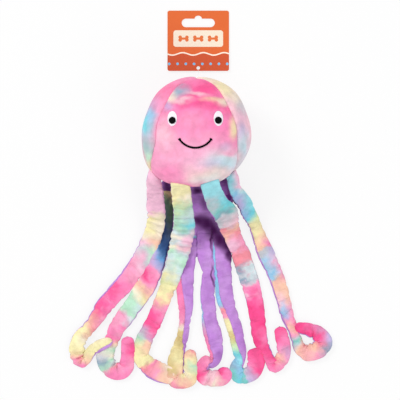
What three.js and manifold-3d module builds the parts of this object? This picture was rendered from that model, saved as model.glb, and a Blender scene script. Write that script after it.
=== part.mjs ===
// A plush octopus dog toy with a stuffed head, eight floppy legs and a header card.
// It lies on its back: +Z is up, the head points to +Y, and the flat of its back is at the origin.
import * as THREE from "three";
import { mergeVertices } from "three/addons/utils/BufferGeometryUtils.js";
import Module from "manifold-3d";

const wasm = await Module();
wasm.setup();

// Head sizes, in millimetres
const headWidth = 103;
const headLength = 102;
const headDepth = 92;
const crownFullness = 2; // exponent of the outline at the crown, 2 is an ellipse
const chinFullness = 2.4; // the chin is squarer
const restCut = 0.5; // the back is cut flat this deep where the toy lies on it
const plushThickness = 2.6;
const seamGap = 0.3; // between the edges of neighbouring panels
const baseRadius = 30; // of the panel inside the ring of legs
const backSeamPolar = 128; // degrees from the front of the face
const faceSeamSide = 50; // degrees from the front of the face, at the cheeks
const faceSeamCrown = 75;
const faceSeamChin = 108;
const faceSeamDrop = 86; // how fast the seam falls away from the cheek to the chin

// Face sizes
const faceShift = -1; // the face sits a little left of the head's middle
const eyeSpacing = 42.5;
const eyeHeight = 10; // above the head's middle, towards the crown
const eyeWidth = 8.8;
const eyeLength = 14;
const pupilDiameter = 6.5;
const pupilDrop = 1; // the pupils sit low in the whites
const patchThickness = 0.8;
const patchGap = 0.3;
const smileRadius = 17.5;
const smileHalfAngle = 56; // degrees
const smileDrop = 17; // from the head's middle to the bottom of the smile
const smileWidth = 1.3;
const smileTick = 3.4;

// Filling and squeaker sizes
const fillClearance = 1.6;
const squeakerDiameter = 38;
const squeakerHeight = 18;
const squeakerWall = 1.2;
const squeakerClearance = 0.5;
const squeakerFlatness = 0.6; // exponent of its rim, 1 is round and 0 is square
const reedDiameter = 8;
const reedLength = 6;
const reedClearance = 0.3;

// Leg and skirt sizes
const legThickness = 6.5;
const webThickness = 5;
const plyGap = 0.3; // between the outer ply and the lining
const rootClearance = 0.6; // between a root and the head's skin
const floorClearance = 0.1;
const webEnd = -120; // y where the back legs leave the skirt
const webShoulder = -57; // y where the skirt narrows and leg_2 leaves it
const webSlit = -105; // y where leg_6 leaves the skirt
const rootGap = 0.7; // between the skirt and a leg sewn to it
const layGap = 0.6; // between the skirt and a leg that lies on it
const plyPoints = 6; // corners of a ply's cross section
const ringsPerStation = 1.35;

// Header card sizes
const cardWidth = 59.5;
const cardHeight = 58.4;
const cardThickness = 0.8;
const cardCorner = 2;
const cardHang = 11.6; // from the crown out to the card's hole
const cardPivotZ = 2;
const cardCentreX = 1.6;
const tagHoleRadius = 1.75;
const tagHoleInset = 2.9; // from the card's lower edge
const slotWidth = 32;
const slotHeight = 8.3;
const slotDrop = 11.9; // from the card's upper edge to the slot's middle
const slotDomeWidth = 7;
const slotDomeRise = 2.9;

// Nylon fastener sizes
const filamentDiameter = 0.9;
const filamentSlope = 38; // degrees below the level, from the head down to the card
const barDiameter = 1;
const barLength = 9;
const barReach = 2.06; // from the card's hole to the bar that stops it
const barInside = 2; // from the plush's inner face to the bar inside the head
const tagRoom = 0.35; // around the fastener where it passes through the head

const headCentreZ = headDepth / 2 - restCut;
const cardPivotY = headLength / 2 + cardHang;
const headSteps = 32; // faces round the head
const radiusPasses = 8; // the outline's exponent settles within these
const crownSharpness = 6; // exponents of the face seam's rise at the crown and its fall at the chin
const chinSharpness = 3;
const degrees = THREE.MathUtils.degToRad;

// A geometry from corner points, three to a triangle; shared corners are merged, collapsed triangles dropped.
function geometryFrom(corners) {
  const loose = new THREE.BufferGeometry().setFromPoints(corners);
  const merged = mergeVertices(loose, 1e-4);
  const kept = [];
  for (let i = 0; i < merged.index.count; i += 3) {
    const [a, b, c] = [0, 1, 2].map((k) => merged.index.getX(i + k));
    if (a !== b && b !== c && c !== a) kept.push(a, b, c);
  }
  merged.setIndex(kept);
  return merged;
}

function toSolid(geometry) {
  const bare = geometry.clone();
  bare.deleteAttribute("normal");
  bare.deleteAttribute("uv");
  const merged = mergeVertices(bare, 1e-4);
  return new wasm.Manifold(
    new wasm.Mesh({
      numProp: 3,
      vertProperties: new Float32Array(merged.attributes.position.array),
      triVerts: new Uint32Array(merged.index.array),
    }),
  );
}

function toGeometry(solid) {
  const mesh = solid.getMesh();
  const geometry = new THREE.BufferGeometry();
  geometry.setAttribute("position", new THREE.BufferAttribute(mesh.vertProperties, 3));
  geometry.setIndex(new THREE.BufferAttribute(mesh.triVerts, 1));
  geometry.computeVertexNormals();
  return geometry;
}

function addQuad(corners, a, b, c, d) {
  corners.push(a, b, c, a, c, d);
}

// A closed solid between two skins: point(u, v, 0) is the outer one and point(u, v, 1) the inner one.
function shellSolid(point, uSteps, vSteps, isClosed) {
  const corners = [];
  const at = (i, j, side) => point((isClosed ? i % uSteps : i) / uSteps, j / vSteps, side);
  for (let i = 0; i < uSteps; i += 1) {
    for (let j = 0; j < vSteps; j += 1) {
      addQuad(corners, at(i, j, 0), at(i, j + 1, 0), at(i + 1, j + 1, 0), at(i + 1, j, 0));
      addQuad(corners, at(i, j, 1), at(i + 1, j, 1), at(i + 1, j + 1, 1), at(i, j + 1, 1));
    }
    addQuad(corners, at(i, vSteps, 0), at(i, vSteps, 1), at(i + 1, vSteps, 1), at(i + 1, vSteps, 0));
    addQuad(corners, at(i, 0, 0), at(i + 1, 0, 0), at(i + 1, 0, 1), at(i, 0, 1));
  }
  for (let j = 0; j < vSteps && !isClosed; j += 1) {
    addQuad(corners, at(0, j, 0), at(0, j, 1), at(0, j + 1, 1), at(0, j + 1, 0));
    addQuad(corners, at(uSteps, j, 0), at(uSteps, j + 1, 0), at(uSteps, j + 1, 1), at(uSteps, j, 1));
  }
  return toSolid(geometryFrom(corners));
}

// The head's outline exponent at a height y along the head
function fullnessAt(y) {
  const half = headLength / 2;
  const clamped = THREE.MathUtils.clamp(y, -half, half);
  return THREE.MathUtils.mapLinear(clamped, -half, half, chinFullness, crownFullness);
}

// Distance from the head's centre to its skin in a direction
function skinRadius(direction) {
  let radius = headLength / 2;
  for (let pass = 0; pass < radiusPasses; pass += 1) {
    const n = fullnessAt(radius * direction.y);
    const sum =
      Math.abs((2 * direction.x) / headWidth) ** n +
      Math.abs((2 * direction.y) / headLength) ** n +
      Math.abs((2 * direction.z) / headDepth) ** n;
    radius = sum ** (-1 / n);
  }
  return radius;
}

// A point below the head's skin; polar runs from the front of the face, azimuth from +X round to the crown.
function headPoint(polar, azimuth, depth) {
  const direction = new THREE.Vector3(
    Math.sin(polar) * Math.cos(azimuth),
    Math.sin(polar) * Math.sin(azimuth),
    Math.cos(polar),
  );
  const point = direction.clone().multiplyScalar(skinRadius(direction) - depth);
  point.z += headCentreZ;
  return point;
}

// Height of the head's skin above the floor at a place on the face
function skinHeight(x, y) {
  const n = fullnessAt(y);
  const flat = Math.abs((2 * x) / headWidth) ** n + Math.abs((2 * y) / headLength) ** n;
  return headCentreZ + (headDepth / 2) * Math.max(0, 1 - flat) ** (1 / n);
}

// A closed ball with the head's form, its skin moved in by depth
function headBall(depth) {
  const corners = [];
  const polarSteps = headSteps / 2;
  const at = (i, j) =>
    headPoint((Math.PI * j) / polarSteps, (2 * Math.PI * (i % headSteps)) / headSteps, depth);
  for (let i = 0; i < headSteps; i += 1) {
    for (let j = 0; j < polarSteps; j += 1) {
      addQuad(corners, at(i, j), at(i, j + 1), at(i + 1, j + 1), at(i + 1, j));
    }
  }
  return toSolid(geometryFrom(corners));
}

// Polar angle of the face panel's seam: near the cheeks it is an oval, and it runs down to the chin.
function faceSeam(azimuth) {
  const rise = Math.sin(azimuth);
  if (rise > 0) return degrees(faceSeamSide + (faceSeamCrown - faceSeamSide) * rise ** crownSharpness);
  const steep = faceSeamSide + faceSeamDrop * Math.abs(rise) ** chinSharpness;
  return degrees(Math.min(steep, faceSeamChin));
}

const seamAngle = seamGap / headLength; // half the gap, as an angle at the skin
const backSeam = degrees(backSeamPolar);

function faceShell() {
  const point = (u, v, side) => {
    const azimuth = 2 * Math.PI * u;
    return headPoint((faceSeam(azimuth) - seamAngle) * v, azimuth, side * plushThickness);
  };
  return shellSolid(point, headSteps, 9, true);
}

function sideShell(azimuthStart) {
  const point = (u, v, side) => {
    const azimuth = azimuthStart + seamAngle + (Math.PI - 2 * seamAngle) * u;
    const first = faceSeam(azimuth) + seamAngle;
    const last = backSeam - seamAngle;
    return headPoint(first + (last - first) * v, azimuth, side * plushThickness);
  };
  return shellSolid(point, headSteps / 2, 5, false);
}

function backShell() {
  const point = (u, v, side) => {
    const first = backSeam + seamAngle;
    return headPoint(first + (Math.PI - first) * v, 2 * Math.PI * u, side * plushThickness);
  };
  return shellSolid(point, headSteps, 3, true);
}

// A round bar between two points
function barSolid(from, to, diameter, sides) {
  const along = to.clone().sub(from);
  const bar = new THREE.CylinderGeometry(diameter / 2, diameter / 2, along.length(), sides);
  const turn = new THREE.Quaternion().setFromUnitVectors(
    new THREE.Vector3(0, 1, 0),
    along.clone().normalize(),
  );
  bar.applyQuaternion(turn);
  const middle = from.clone().add(to).multiplyScalar(0.5);
  bar.translate(middle.x, middle.y, middle.z);
  return toSolid(bar);
}

function boxSolid(width, length, height, x, y, z) {
  const box = new THREE.BoxGeometry(width, length, height);
  box.translate(x, y, z);
  return toSolid(box);
}

// The disc region inside the ring of legs, on the head's lower end
function baseCutter(radius) {
  const from = new THREE.Vector3(0, -headLength, headCentreZ);
  const to = new THREE.Vector3(0, -baseRadius / 2, headCentreZ);
  return barSolid(from, to, 2 * radius, 28);
}

// The fastener runs from the card's hole up to the head, with a bar across each end.
const tagPivot = new THREE.Vector3(cardCentreX, cardPivotY, cardPivotZ);
const tagDirection = new THREE.Vector3(
  0,
  -Math.cos(degrees(filamentSlope)),
  Math.sin(degrees(filamentSlope)),
);

// Distance along the filament from the card's hole to the head's inner face
function filamentReach() {
  const centre = new THREE.Vector3(0, 0, headCentreZ);
  let reach = 0;
  for (let step = 0.25; step < headLength; step += 0.25) {
    const offset = tagPivot.clone().addScaledVector(tagDirection, step).sub(centre);
    const distance = offset.length();
    reach = step;
    if (distance < skinRadius(offset.normalize()) - plushThickness) break;
  }
  return reach;
}

const tagLength = filamentReach() + barInside;

function fastenerSolid(room) {
  const lower = tagPivot.clone().addScaledVector(tagDirection, -barReach);
  const upper = tagPivot.clone().addScaledVector(tagDirection, tagLength);
  const across = new THREE.Vector3(barLength / 2 + room, 0, 0);
  const filament = barSolid(lower, upper, filamentDiameter + 2 * room, 8);
  const ends = [lower, upper].map((end) =>
    barSolid(end.clone().sub(across), end.clone().add(across), barDiameter + 2 * room, 8),
  );
  return filament.add(ends[0]).add(ends[1]);
}

const tagCutter = fastenerSolid(tagRoom);
const floorCutter = boxSolid(2 * headWidth, 2 * headLength, headDepth, 0, 0, -headDepth / 2);

function panel(shell) {
  return shell.subtract(baseCutter(baseRadius)).subtract(tagCutter).subtract(floorCutter);
}

function basePanel() {
  const skin = headBall(0).subtract(headBall(plushThickness));
  return skin.intersect(baseCutter(baseRadius - seamGap));
}

// A sewn patch on the face: an ellipse that follows the skin
function facePatch(x, y, width, length, low) {
  const point = (u, v, side) => {
    const px = x + (width / 2) * v * Math.cos(2 * Math.PI * u);
    const py = y + (length / 2) * v * Math.sin(2 * Math.PI * u);
    const lift = low + (side ? 0 : patchThickness);
    return new THREE.Vector3(px, py, skinHeight(px, py) + lift);
  };
  return shellSolid(point, 20, 3, true);
}

// A stretch of stitching on the face between two radii and two angles round the smile's centre
function stitchArc(fromAngle, toAngle, innerRadius, outerRadius, steps) {
  const centreY = smileRadius - smileDrop;
  const point = (u, v, side) => {
    const angle = degrees(fromAngle + (toAngle - fromAngle) * u);
    const radius = innerRadius + (outerRadius - innerRadius) * v;
    const px = faceShift + radius * Math.cos(angle);
    const py = centreY + radius * Math.sin(angle);
    const lift = patchGap + (side ? 0 : patchThickness);
    return new THREE.Vector3(px, py, skinHeight(px, py) + lift);
  };
  return shellSolid(point, steps, 1, false);
}

function smileSolid() {
  const bottom = 270;
  const halfStitch = smileWidth / 2;
  const halfTick = smileTick / 2;
  const tickAngle = THREE.MathUtils.radToDeg(halfStitch / smileRadius);
  let smile = stitchArc(
    bottom - smileHalfAngle,
    bottom + smileHalfAngle,
    smileRadius - halfStitch,
    smileRadius + halfStitch,
    18,
  );
  for (const end of [bottom - smileHalfAngle, bottom + smileHalfAngle]) {
    const tick = stitchArc(
      end - tickAngle,
      end + tickAngle,
      smileRadius - halfTick,
      smileRadius + halfTick,
      1,
    );
    smile = smile.add(tick);
  }
  return smile;
}

// The squeaker lies in the middle of the filling with its reed towards the crown.
const squeakerProfile = (grow) => {
  const radius = squeakerDiameter / 2 + grow;
  const half = squeakerHeight / 2 + grow;
  const steps = 8;
  return Array.from({ length: steps + 1 }, (_, k) => {
    const angle = -Math.PI / 2 + (Math.PI * k) / steps;
    const round = Math.abs(Math.cos(angle)) ** squeakerFlatness;
    return new THREE.Vector2(radius * round, half * Math.sin(angle));
  });
};

function placeSqueaker(geometry) {
  geometry.translate(0, 0, headCentreZ);
  return geometry;
}

function latheSolid(points, segments) {
  const lathe = new THREE.LatheGeometry(points, segments);
  const corners = [];
  const position = lathe.attributes.position;
  for (let i = 0; i < lathe.index.count; i += 1) {
    corners.push(new THREE.Vector3().fromBufferAttribute(position, lathe.index.getX(i)));
  }
  const geometry = geometryFrom(corners);
  return toSolid(placeSqueaker(geometry));
}

function squeakerSolids() {
  const segments = 24;
  const outside = squeakerProfile(0);
  outside[0].x = 0;
  outside[outside.length - 1].x = 0;
  const inside = squeakerProfile(-squeakerWall);
  inside[0].x = 0;
  inside[inside.length - 1].x = 0;
  const top = headCentreZ;
  const mouth = squeakerHeight / 2;
  const bore = barSolid(
    new THREE.Vector3(0, 0, top),
    new THREE.Vector3(0, mouth * 2, top),
    reedDiameter + 2 * reedClearance,
    20,
  );
  const bladder = latheSolid(outside, segments).subtract(latheSolid(inside, segments)).subtract(bore);
  const reed = barSolid(
    new THREE.Vector3(0, mouth - reedLength, top),
    new THREE.Vector3(0, mouth, top),
    reedDiameter,
    20,
  );
  const room = squeakerProfile(squeakerClearance);
  room[0].x = 0;
  room[room.length - 1].x = 0;
  return { bladder, reed, room: latheSolid(room, segments) };
}

// The value of one column of the stations, part way between two of them
function stationValue(stations, along, column) {
  const first = Math.min(Math.floor(along), stations.length - 2);
  return THREE.MathUtils.lerp(stations[first][column], stations[first + 1][column], along - first);
}

function limbPath(stations, thickness) {
  const centres = stations.map(
    ([x, y, lift]) => new THREE.Vector3(x, y, floorClearance + lift + thickness / 2),
  );
  return new THREE.CatmullRomCurve3(centres, false, "centripetal");
}

// A limb's side and up directions at a place on its path
function limbFrame(path, share, isSkirt) {
  const tangent = path.getTangent(share);
  if (isSkirt) tangent.setX(0).normalize();
  const up = new THREE.Vector3(0, 0, 1).addScaledVector(tangent, -tangent.z).normalize();
  return { side: new THREE.Vector3().crossVectors(up, tangent), up };
}

// The cross section of one ply: half an ellipse, cut along the seam line at the angle turn
function plyRing(centre, side, up, width, thickness, turn) {
  const away = new THREE.Vector2(-thickness * Math.sin(turn), width * Math.cos(turn));
  away.setLength(plyGap / 2);
  return Array.from({ length: plyPoints }, (_, k) => {
    const angle = turn + (Math.PI * k) / (plyPoints - 1);
    return centre
      .clone()
      .addScaledVector(side, (width / 2) * Math.cos(angle) + away.x)
      .addScaledVector(up, (thickness / 2) * Math.sin(angle) + away.y);
  });
}

// A limb is one soft tube; the seam line at the angle turn parts its outer ply from its lining.
// A station is [x, y, lift above the floor, width, turn in degrees]; a skirt keeps its width along X.
function plySolid(stations, thickness, isLining, isSkirt = false) {
  const path = limbPath(stations, thickness);
  const lastRing = Math.round((stations.length - 1) * ringsPerStation);
  const rings = [];
  for (let i = 0; i <= lastRing; i += 1) {
    const along = ((stations.length - 1) * i) / lastRing;
    const centre = path.getPoint(i / lastRing);
    if (isSkirt) centre.x = stationValue(stations, along, 0);
    const { side, up } = limbFrame(path, i / lastRing, isSkirt);
    const width = stationValue(stations, along, 3);
    const turn = degrees(stationValue(stations, along, 4) + (isLining ? 180 : 0));
    rings.push(plyRing(centre, side, up, width, thickness, turn));
  }
  const corners = [];
  for (let i = 0; i < lastRing; i += 1) {
    const [near, far] = [rings[i], rings[i + 1]];
    for (let k = 0; k < plyPoints - 1; k += 1) {
      addQuad(corners, near[k], near[k + 1], far[k + 1], far[k]);
    }
    const end = plyPoints - 1;
    if (isLining) addQuad(corners, near[0], far[0], far[end], near[end]);
    else addQuad(corners, near[end], near[0], far[0], far[end]);
  }
  const last = rings[lastRing];
  for (let k = 1; k < plyPoints - 1; k += 1) {
    corners.push(rings[0][0], rings[0][k + 1], rings[0][k]);
    corners.push(last[0], last[k], last[k + 1]);
  }
  return toSolid(geometryFrom(corners));
}

const overWeb = webThickness + layGap;

// The skirt behind the back legs, from the head down to where they leave it
const webStations = [
  [2, -34, 36, 62, 180],
  [2, -48, 26, 76, 180],
  [2, webShoulder + 1.5, 21, 73, 180],
  [7.5, webShoulder, 20, 61, 180],
  [6, -72, 10, 57, 180],
  [4.5, -86, 1, 48, 180],
  [6.5, webSlit + 1.5, 0, 41, 180],
  [0.5, webSlit, 0, 27, 180],
  [1.9, webEnd, 0, 22.5, 180],
];

const legStations = {
  leg_1: [
    [-36, -29, 48, 11, 0],
    [-40, -43, 46, 12, 0],
    [-39, -55, 38, 15, 0],
    [-38.6, -71, 25, 17, 0],
    [-38.6, -81, 16, 16.5, -5],
    [-41, -93, 8, 17.5, -10],
    [-44.6, -105, 1, 18.5, -20],
    [-51.5, -119, 0, 17.5, -20],
    [-61, -133, 0, 17.5, -25],
    [-69, -145, 0, 17, -25],
    [-87.5, -167, 0, 16.5, -15],
    [-100, -185, 0, 13, -20],
    [-108, -192.5, 0, 13, -10],
    [-113.5, -200, 0, 15, 0],
    [-115.5, -208, 0, 15.5, 0],
    [-115, -216, 0, 12.5, 0],
    [-111.5, -222, 0, 9.5, 0],
    [-106, -220.5, 0, 7.6, 10],
    [-102, -212.5, 1, 7.5, 60],
    [-97, -206.5, 2, 7, 60],
    [-89, -202, 1, 6, 60],
  ],
  leg_2: [
    [-27.5, webShoulder - rootGap, 14, 5, 20],
    [-26.8, -70, 9, 5.2, 20],
    [-27.3, -82, 4, 6, 20],
    [-28, -95, 0, 7.5, 20],
    [-31.5, -108, 0, 8, 20],
    [-35.5, -119, 0, 10.5, 15],
    [-40, -130, 0, 13.5, 15],
    [-45.5, -141, 0, 16, 10],
    [-50, -150, 0, 17, 10],
    [-58, -163, 0, 15.5, 10],
    [-67, -176, 0, 15, 10],
    [-75, -187.5, 0, 13.5, 0],
    [-77.8, -198, 1, 10.5, 0],
    [-81.5, -207, 1, 12, 0],
    [-86, -216, 0, 16, 0],
    [-85.5, -226, 0, 17, 0],
    [-78, -231.5, 0, 17, 0],
    [-70.5, -228, 0, 14.5, 0],
    [-67, -217.5, 0, 10.5, 0],
    [-66.3, -200.5, 1, 9, 0],
  ],
  leg_3: [
    [-13, -30, 64, 14, 0],
    [-15, -50, 62, 18, 0],
    [-14, -61, 53, 18, 0],
    [-13, -71, 41, 18, 0],
    [-12, -82, 28, 19, 0],
    [-12, -92, 17, 21, 0],
    [-14, -101.5, overWeb + 3, 21, 0],
    [-16, -112, overWeb, 20.5, 0],
    [-19, -123, overWeb, 19, 0],
    [-25, -142, 1, 16.5, 0],
    [-28.5, -151, 0, 15, 0],
    [-37, -172, 0, 14.5, 0],
    [-44, -187.5, 0, 15, 0],
    [-49, -197, 0, 15.5, 0],
    [-53, -208, 0, 15.5, 0],
    [-53.8, -216.5, 0, 14, 0],
    [-52, -223.5, 0, 14.5, -10],
    [-46, -228.5, 1, 15.5, -20],
    [-37.5, -231, 1, 17.5, -20],
    [-27.5, -231.5, 0, 12, 0],
  ],
  leg_4: [
    [-4, webEnd - rootGap, 0, 6, 180],
    [-5, -126, 0, 7, 160],
    [-7.5, -134, 0, 8, 150],
    [-9.3, -142.5, 0, 11.5, 120],
    [-10.3, -151, 0, 14.5, 110],
    [-10.5, -170, 0, 12, 95],
    [-10.5, -179, 0, 9, 90],
    [-12, -188, 0, 9, 90],
    [-14, -197, 0, 9.5, 90],
    [-17.5, -207, 0, 11.5, 40],
    [-20.5, -216.5, 0, 12.5, 15],
    [-19, -225, 0, 10, 15],
    [-18, -234.5, 0, 12, 10],
    [-14, -241.5, 1, 13, 0],
    [-7.5, -240.5, 1, 12, 0],
    [-5, -232, 0, 9.5, 0],
    [-5.8, -213, 1, 8, 0],
  ],
  leg_5: [
    [6.8, webEnd - rootGap, 0, 13, 180],
    [8.6, -128, 0, 9.5, 180],
    [10, -135, 0, 8, 180],
    [10, -144, 0, 9, 180],
    [11, -160, 0, 12.5, 180],
    [12.7, -182, 0, 12.5, 180],
    [15.5, -193.5, 0, 14.5, 180],
    [19, -206, 0, 13.5, 180],
    [20, -214.5, 0, 8.5, 160],
    [16.3, -222, 0, 8.5, 120],
    [9.3, -222, 1, 10.5, 60],
    [5.5, -229, 1, 12, 20],
    [9, -237, 0, 13.5, 0],
    [17, -238.5, 0, 15, 0],
    [24, -235.5, 0, 13, 0],
    [28, -228, 1, 9, 0],
  ],
  leg_6: [
    [21.6, webSlit - rootGap - 2, 0, 12.5, 150],
    [22.6, -117, 0, 15.5, 130],
    [24.3, -129, 0, 17, 130],
    [26.2, -144, 0, 16.5, 130],
    [28.4, -159, 0, 14, 130],
    [32.3, -170, 0, 12.5, 125],
    [36, -182, 0, 13, 110],
    [38, -191.5, 0, 14, 110],
    [39.3, -201, 0, 13.5, 110],
    [41, -211, 0, 12.5, 90],
    [40.5, -220.5, 0, 9, 40],
    [38, -228.5, 1, 12.5, 0],
    [41, -236.5, 0, 10, 0],
    [48.2, -236.5, 0, 11, 0],
    [54, -229, 0, 14, 0],
    [56.5, -220.5, 0, 13.5, 0],
    [56, -212, 1, 9, 0],
  ],
  leg_7: [
    [10, -30, 65, 14, 0],
    [13, -51, 63, 18, 0],
    [16.5, -61, 54, 19, 0],
    [21.5, -71, 41, 20, 0],
    [26, -79, 29, 20.5, 0],
    [30, -87, 18, 19, 0],
    [33.5, -96, 9, 17.5, 0],
    [38, -105.5, 5, 17.5, 0],
    [43, -117, 2, 18, 0],
    [47, -130, 0, 19, 0],
    [55.5, -159, 0, 16, 0],
    [58.6, -177, 0, 14, 0],
    [61, -193, 0, 13, 0],
    [63.5, -204, 0, 11.5, 10],
    [67.5, -212.5, 1, 7.5, 20],
    [70.5, -220.5, 1, 8.5, 10],
    [76.3, -224.5, 0, 9, 0],
    [82.5, -220.5, 0, 11.5, 0],
    [84.7, -210, 0, 11.5, 0],
    [82.3, -199.5, 1, 10, 0],
    [79.2, -190.5, 1, 7.5, 0],
  ],
  leg_8: [
    [27, -29, 50, 11, 0],
    [34, -43, 47, 11, -10],
    [36.6, -54, 40, 11.5, -15],
    [40, -61, 33, 14, -15],
    [45, -69, 25, 15.5, -15],
    [48.4, -76.5, 17, 16, -15],
    [53.8, -86, 8, 15.5, -15],
    [57.3, -95, 3, 15, -20],
    [62, -107.5, 0, 15, -20],
    [67, -118, 0, 17, -20],
    [78, -143, 0, 15, -20],
    [82.6, -157, 0, 14.5, -20],
    [86.6, -174, 0, 13, -25],
    [90.5, -184, 0, 10, -30],
    [94, -192.5, 0, 8.5, -30],
    [97, -201, 0, 9, -20],
    [100.3, -209, 0, 11.5, -10],
    [107.5, -213, 1, 15, 0],
    [117, -209.5, 1, 15.5, 10],
    [123, -202, 0, 14, 20],
    [118.5, -194.3, 0, 12, 20],
    [103.5, -188.5, 1, 8.5, 20],
  ],
};

function cardSolid() {
  const left = -cardWidth / 2;
  const low = -tagHoleInset;
  const high = cardHeight - tagHoleInset;
  const r = cardCorner;
  const outline = new THREE.Shape();
  outline.moveTo(left + r, low);
  outline.lineTo(-left - r, low);
  outline.absarc(-left - r, low + r, r, -Math.PI / 2, 0);
  outline.lineTo(-left, high - r);
  outline.absarc(-left - r, high - r, r, 0, Math.PI / 2);
  outline.lineTo(left + r, high);
  outline.absarc(left + r, high - r, r, Math.PI / 2, Math.PI);
  outline.lineTo(left, low + r);
  outline.absarc(left + r, low + r, r, Math.PI, 1.5 * Math.PI);
  const slotY = high - slotDrop;
  const end = slotHeight / 2;
  const reach = slotWidth / 2 - end;
  const dome = slotDomeWidth / 2;
  const slot = new THREE.Path();
  slot.moveTo(-reach, slotY - end);
  slot.lineTo(reach, slotY - end);
  slot.absarc(reach, slotY, end, -Math.PI / 2, Math.PI / 2);
  slot.lineTo(dome, slotY + end);
  slot.absellipse(0, slotY + end, dome, slotDomeRise, 0, Math.PI);
  slot.lineTo(-reach, slotY + end);
  slot.absarc(-reach, slotY, end, Math.PI / 2, 1.5 * Math.PI);
  outline.holes.push(slot);
  const tagHole = new THREE.Path();
  tagHole.absarc(0, 0, tagHoleRadius, 0, 2 * Math.PI);
  outline.holes.push(tagHole);
  const board = new THREE.ExtrudeGeometry(outline, {
    depth: cardThickness,
    bevelEnabled: false,
    curveSegments: 6,
  });
  board.translate(0, 0, -cardThickness / 2);
  return toSolid(board);
}

function finish(color, roughness, metalness = 0) {
  return new THREE.MeshStandardMaterial({ color, roughness, metalness });
}

const pinkPlush = () => finish(0xff8fc0, 0.9);
const lilacPlush = () => finish(0xb77fd6, 0.9);
const legTints = {
  leg_1: 0xffb3c8,
  leg_2: 0xf0a8c0,
  leg_3: 0xc8e6c4,
  leg_4: 0xf2a0bc,
  leg_5: 0xf7a5c8,
  leg_6: 0xa9dbe4,
  leg_7: 0xf48bb4,
  leg_8: 0xf3b0c4,
};

const toy = new THREE.Group();

function addPiece(name, solid, material, parent = toy) {
  const mesh = new THREE.Mesh(toGeometry(solid), material);
  mesh.name = name;
  parent.add(mesh);
  return mesh;
}

addPiece("face_panel", panel(faceShell()), pinkPlush());
addPiece("side_panel_left", panel(sideShell(Math.PI / 2)), finish(0xd9b6d8, 0.9));
addPiece("side_panel_right", panel(sideShell(-Math.PI / 2)), finish(0xd9c3dd, 0.9));
addPiece("back_panel", panel(backShell()), pinkPlush());
addPiece("base_panel", basePanel(), lilacPlush());

const { bladder, reed, room } = squeakerSolids();
const filling = headBall(plushThickness + fillClearance).subtract(room).subtract(tagCutter);
const halfHead = headDepth / 2;
const frontHalf = boxSolid(
  2 * headWidth,
  2 * headLength,
  headDepth,
  0,
  0,
  headCentreZ + halfHead + seamGap / 2,
);
const backHalf = boxSolid(
  2 * headWidth,
  2 * headLength,
  headDepth,
  0,
  0,
  headCentreZ - halfHead - seamGap / 2,
);
addPiece("fibre_fill_front", filling.intersect(frontHalf), finish(0xf4f4f0, 1));
addPiece("fibre_fill_back", filling.intersect(backHalf), finish(0xf4f4f0, 1));
addPiece("squeaker_bladder", bladder, finish(0xe8e8e2, 0.5));
addPiece("squeaker_reed", reed, finish(0xd0d0cc, 0.4));

for (const [side, name] of [[-1, "left"], [1, "right"]]) {
  const x = faceShift + (side * eyeSpacing) / 2;
  const pupilLow = patchGap + patchThickness + patchGap;
  addPiece(
    `eye_white_${name}`,
    facePatch(x, eyeHeight, eyeWidth, eyeLength, patchGap),
    finish(0xffffff, 0.8),
  );
  addPiece(
    `pupil_${name}`,
    facePatch(x, eyeHeight - pupilDrop, pupilDiameter, pupilDiameter, pupilLow),
    finish(0x141214, 0.7),
  );
}
addPiece("smile_stitch", smileSolid(), finish(0x1a1618, 0.8));

// The room that the skirt takes from the legs sewn to it: its lower end as a slab, a gap larger all round
function skirtRoom() {
  const last = webStations.length - 1;
  const slabs = [
    [webStations[last][0], webStations[last][3], webSlit, webEnd],
    [webStations[last - 2][0], webStations[last - 2][3], webShoulder, webSlit],
  ];
  return slabs.map(([x, width, from, to]) =>
    boxSolid(
      width + 2 * rootGap,
      from - to + 2 * rootGap,
      webThickness + 2 * rootGap,
      x,
      (from + to) / 2,
      webThickness / 2,
    ),
  );
}

const skirtLegs = ["leg_4", "leg_5", "leg_6"]; // sewn to the skirt's lower end
const rootCutter = headBall(-rootClearance);
addPiece(
  "back_web_outer",
  plySolid(webStations, webThickness, false, true).subtract(rootCutter),
  finish(0xf2b4cc, 0.9),
);
addPiece("back_web_lining", plySolid(webStations, webThickness, true, true).subtract(rootCutter), lilacPlush());

for (const [name, stations] of Object.entries(legStations)) {
  const cutters = skirtLegs.includes(name) ? [rootCutter, ...skirtRoom()] : [rootCutter];
  const [outer, lining] = [false, true].map((isLining) =>
    cutters.reduce((ply, cutter) => ply.subtract(cutter), plySolid(stations, legThickness, isLining)),
  );
  addPiece(`${name}_outer`, outer, finish(legTints[name], 0.9));
  addPiece(`${name}_lining`, lining, lilacPlush());
}

// The card hangs on the fastener, and its far edge rests on the floor.
const cardGroup = new THREE.Group();
cardGroup.position.copy(tagPivot);
const cardDrop = cardPivotZ - cardThickness / 2 - floorClearance;
cardGroup.rotation.x = -Math.asin(cardDrop / (cardHeight - tagHoleInset));
toy.add(cardGroup);
addPiece("header_card", cardSolid(), finish(0xe96a28, 0.5), cardGroup);
addPiece("tag_fastener", fastenerSolid(0), finish(0xe9eef0, 0.3));

export default toy;
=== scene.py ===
import math
import random

import bmesh
import bpy
import numpy as np
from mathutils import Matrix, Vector, noise
from mathutils.bvhtree import BVHTree


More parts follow.
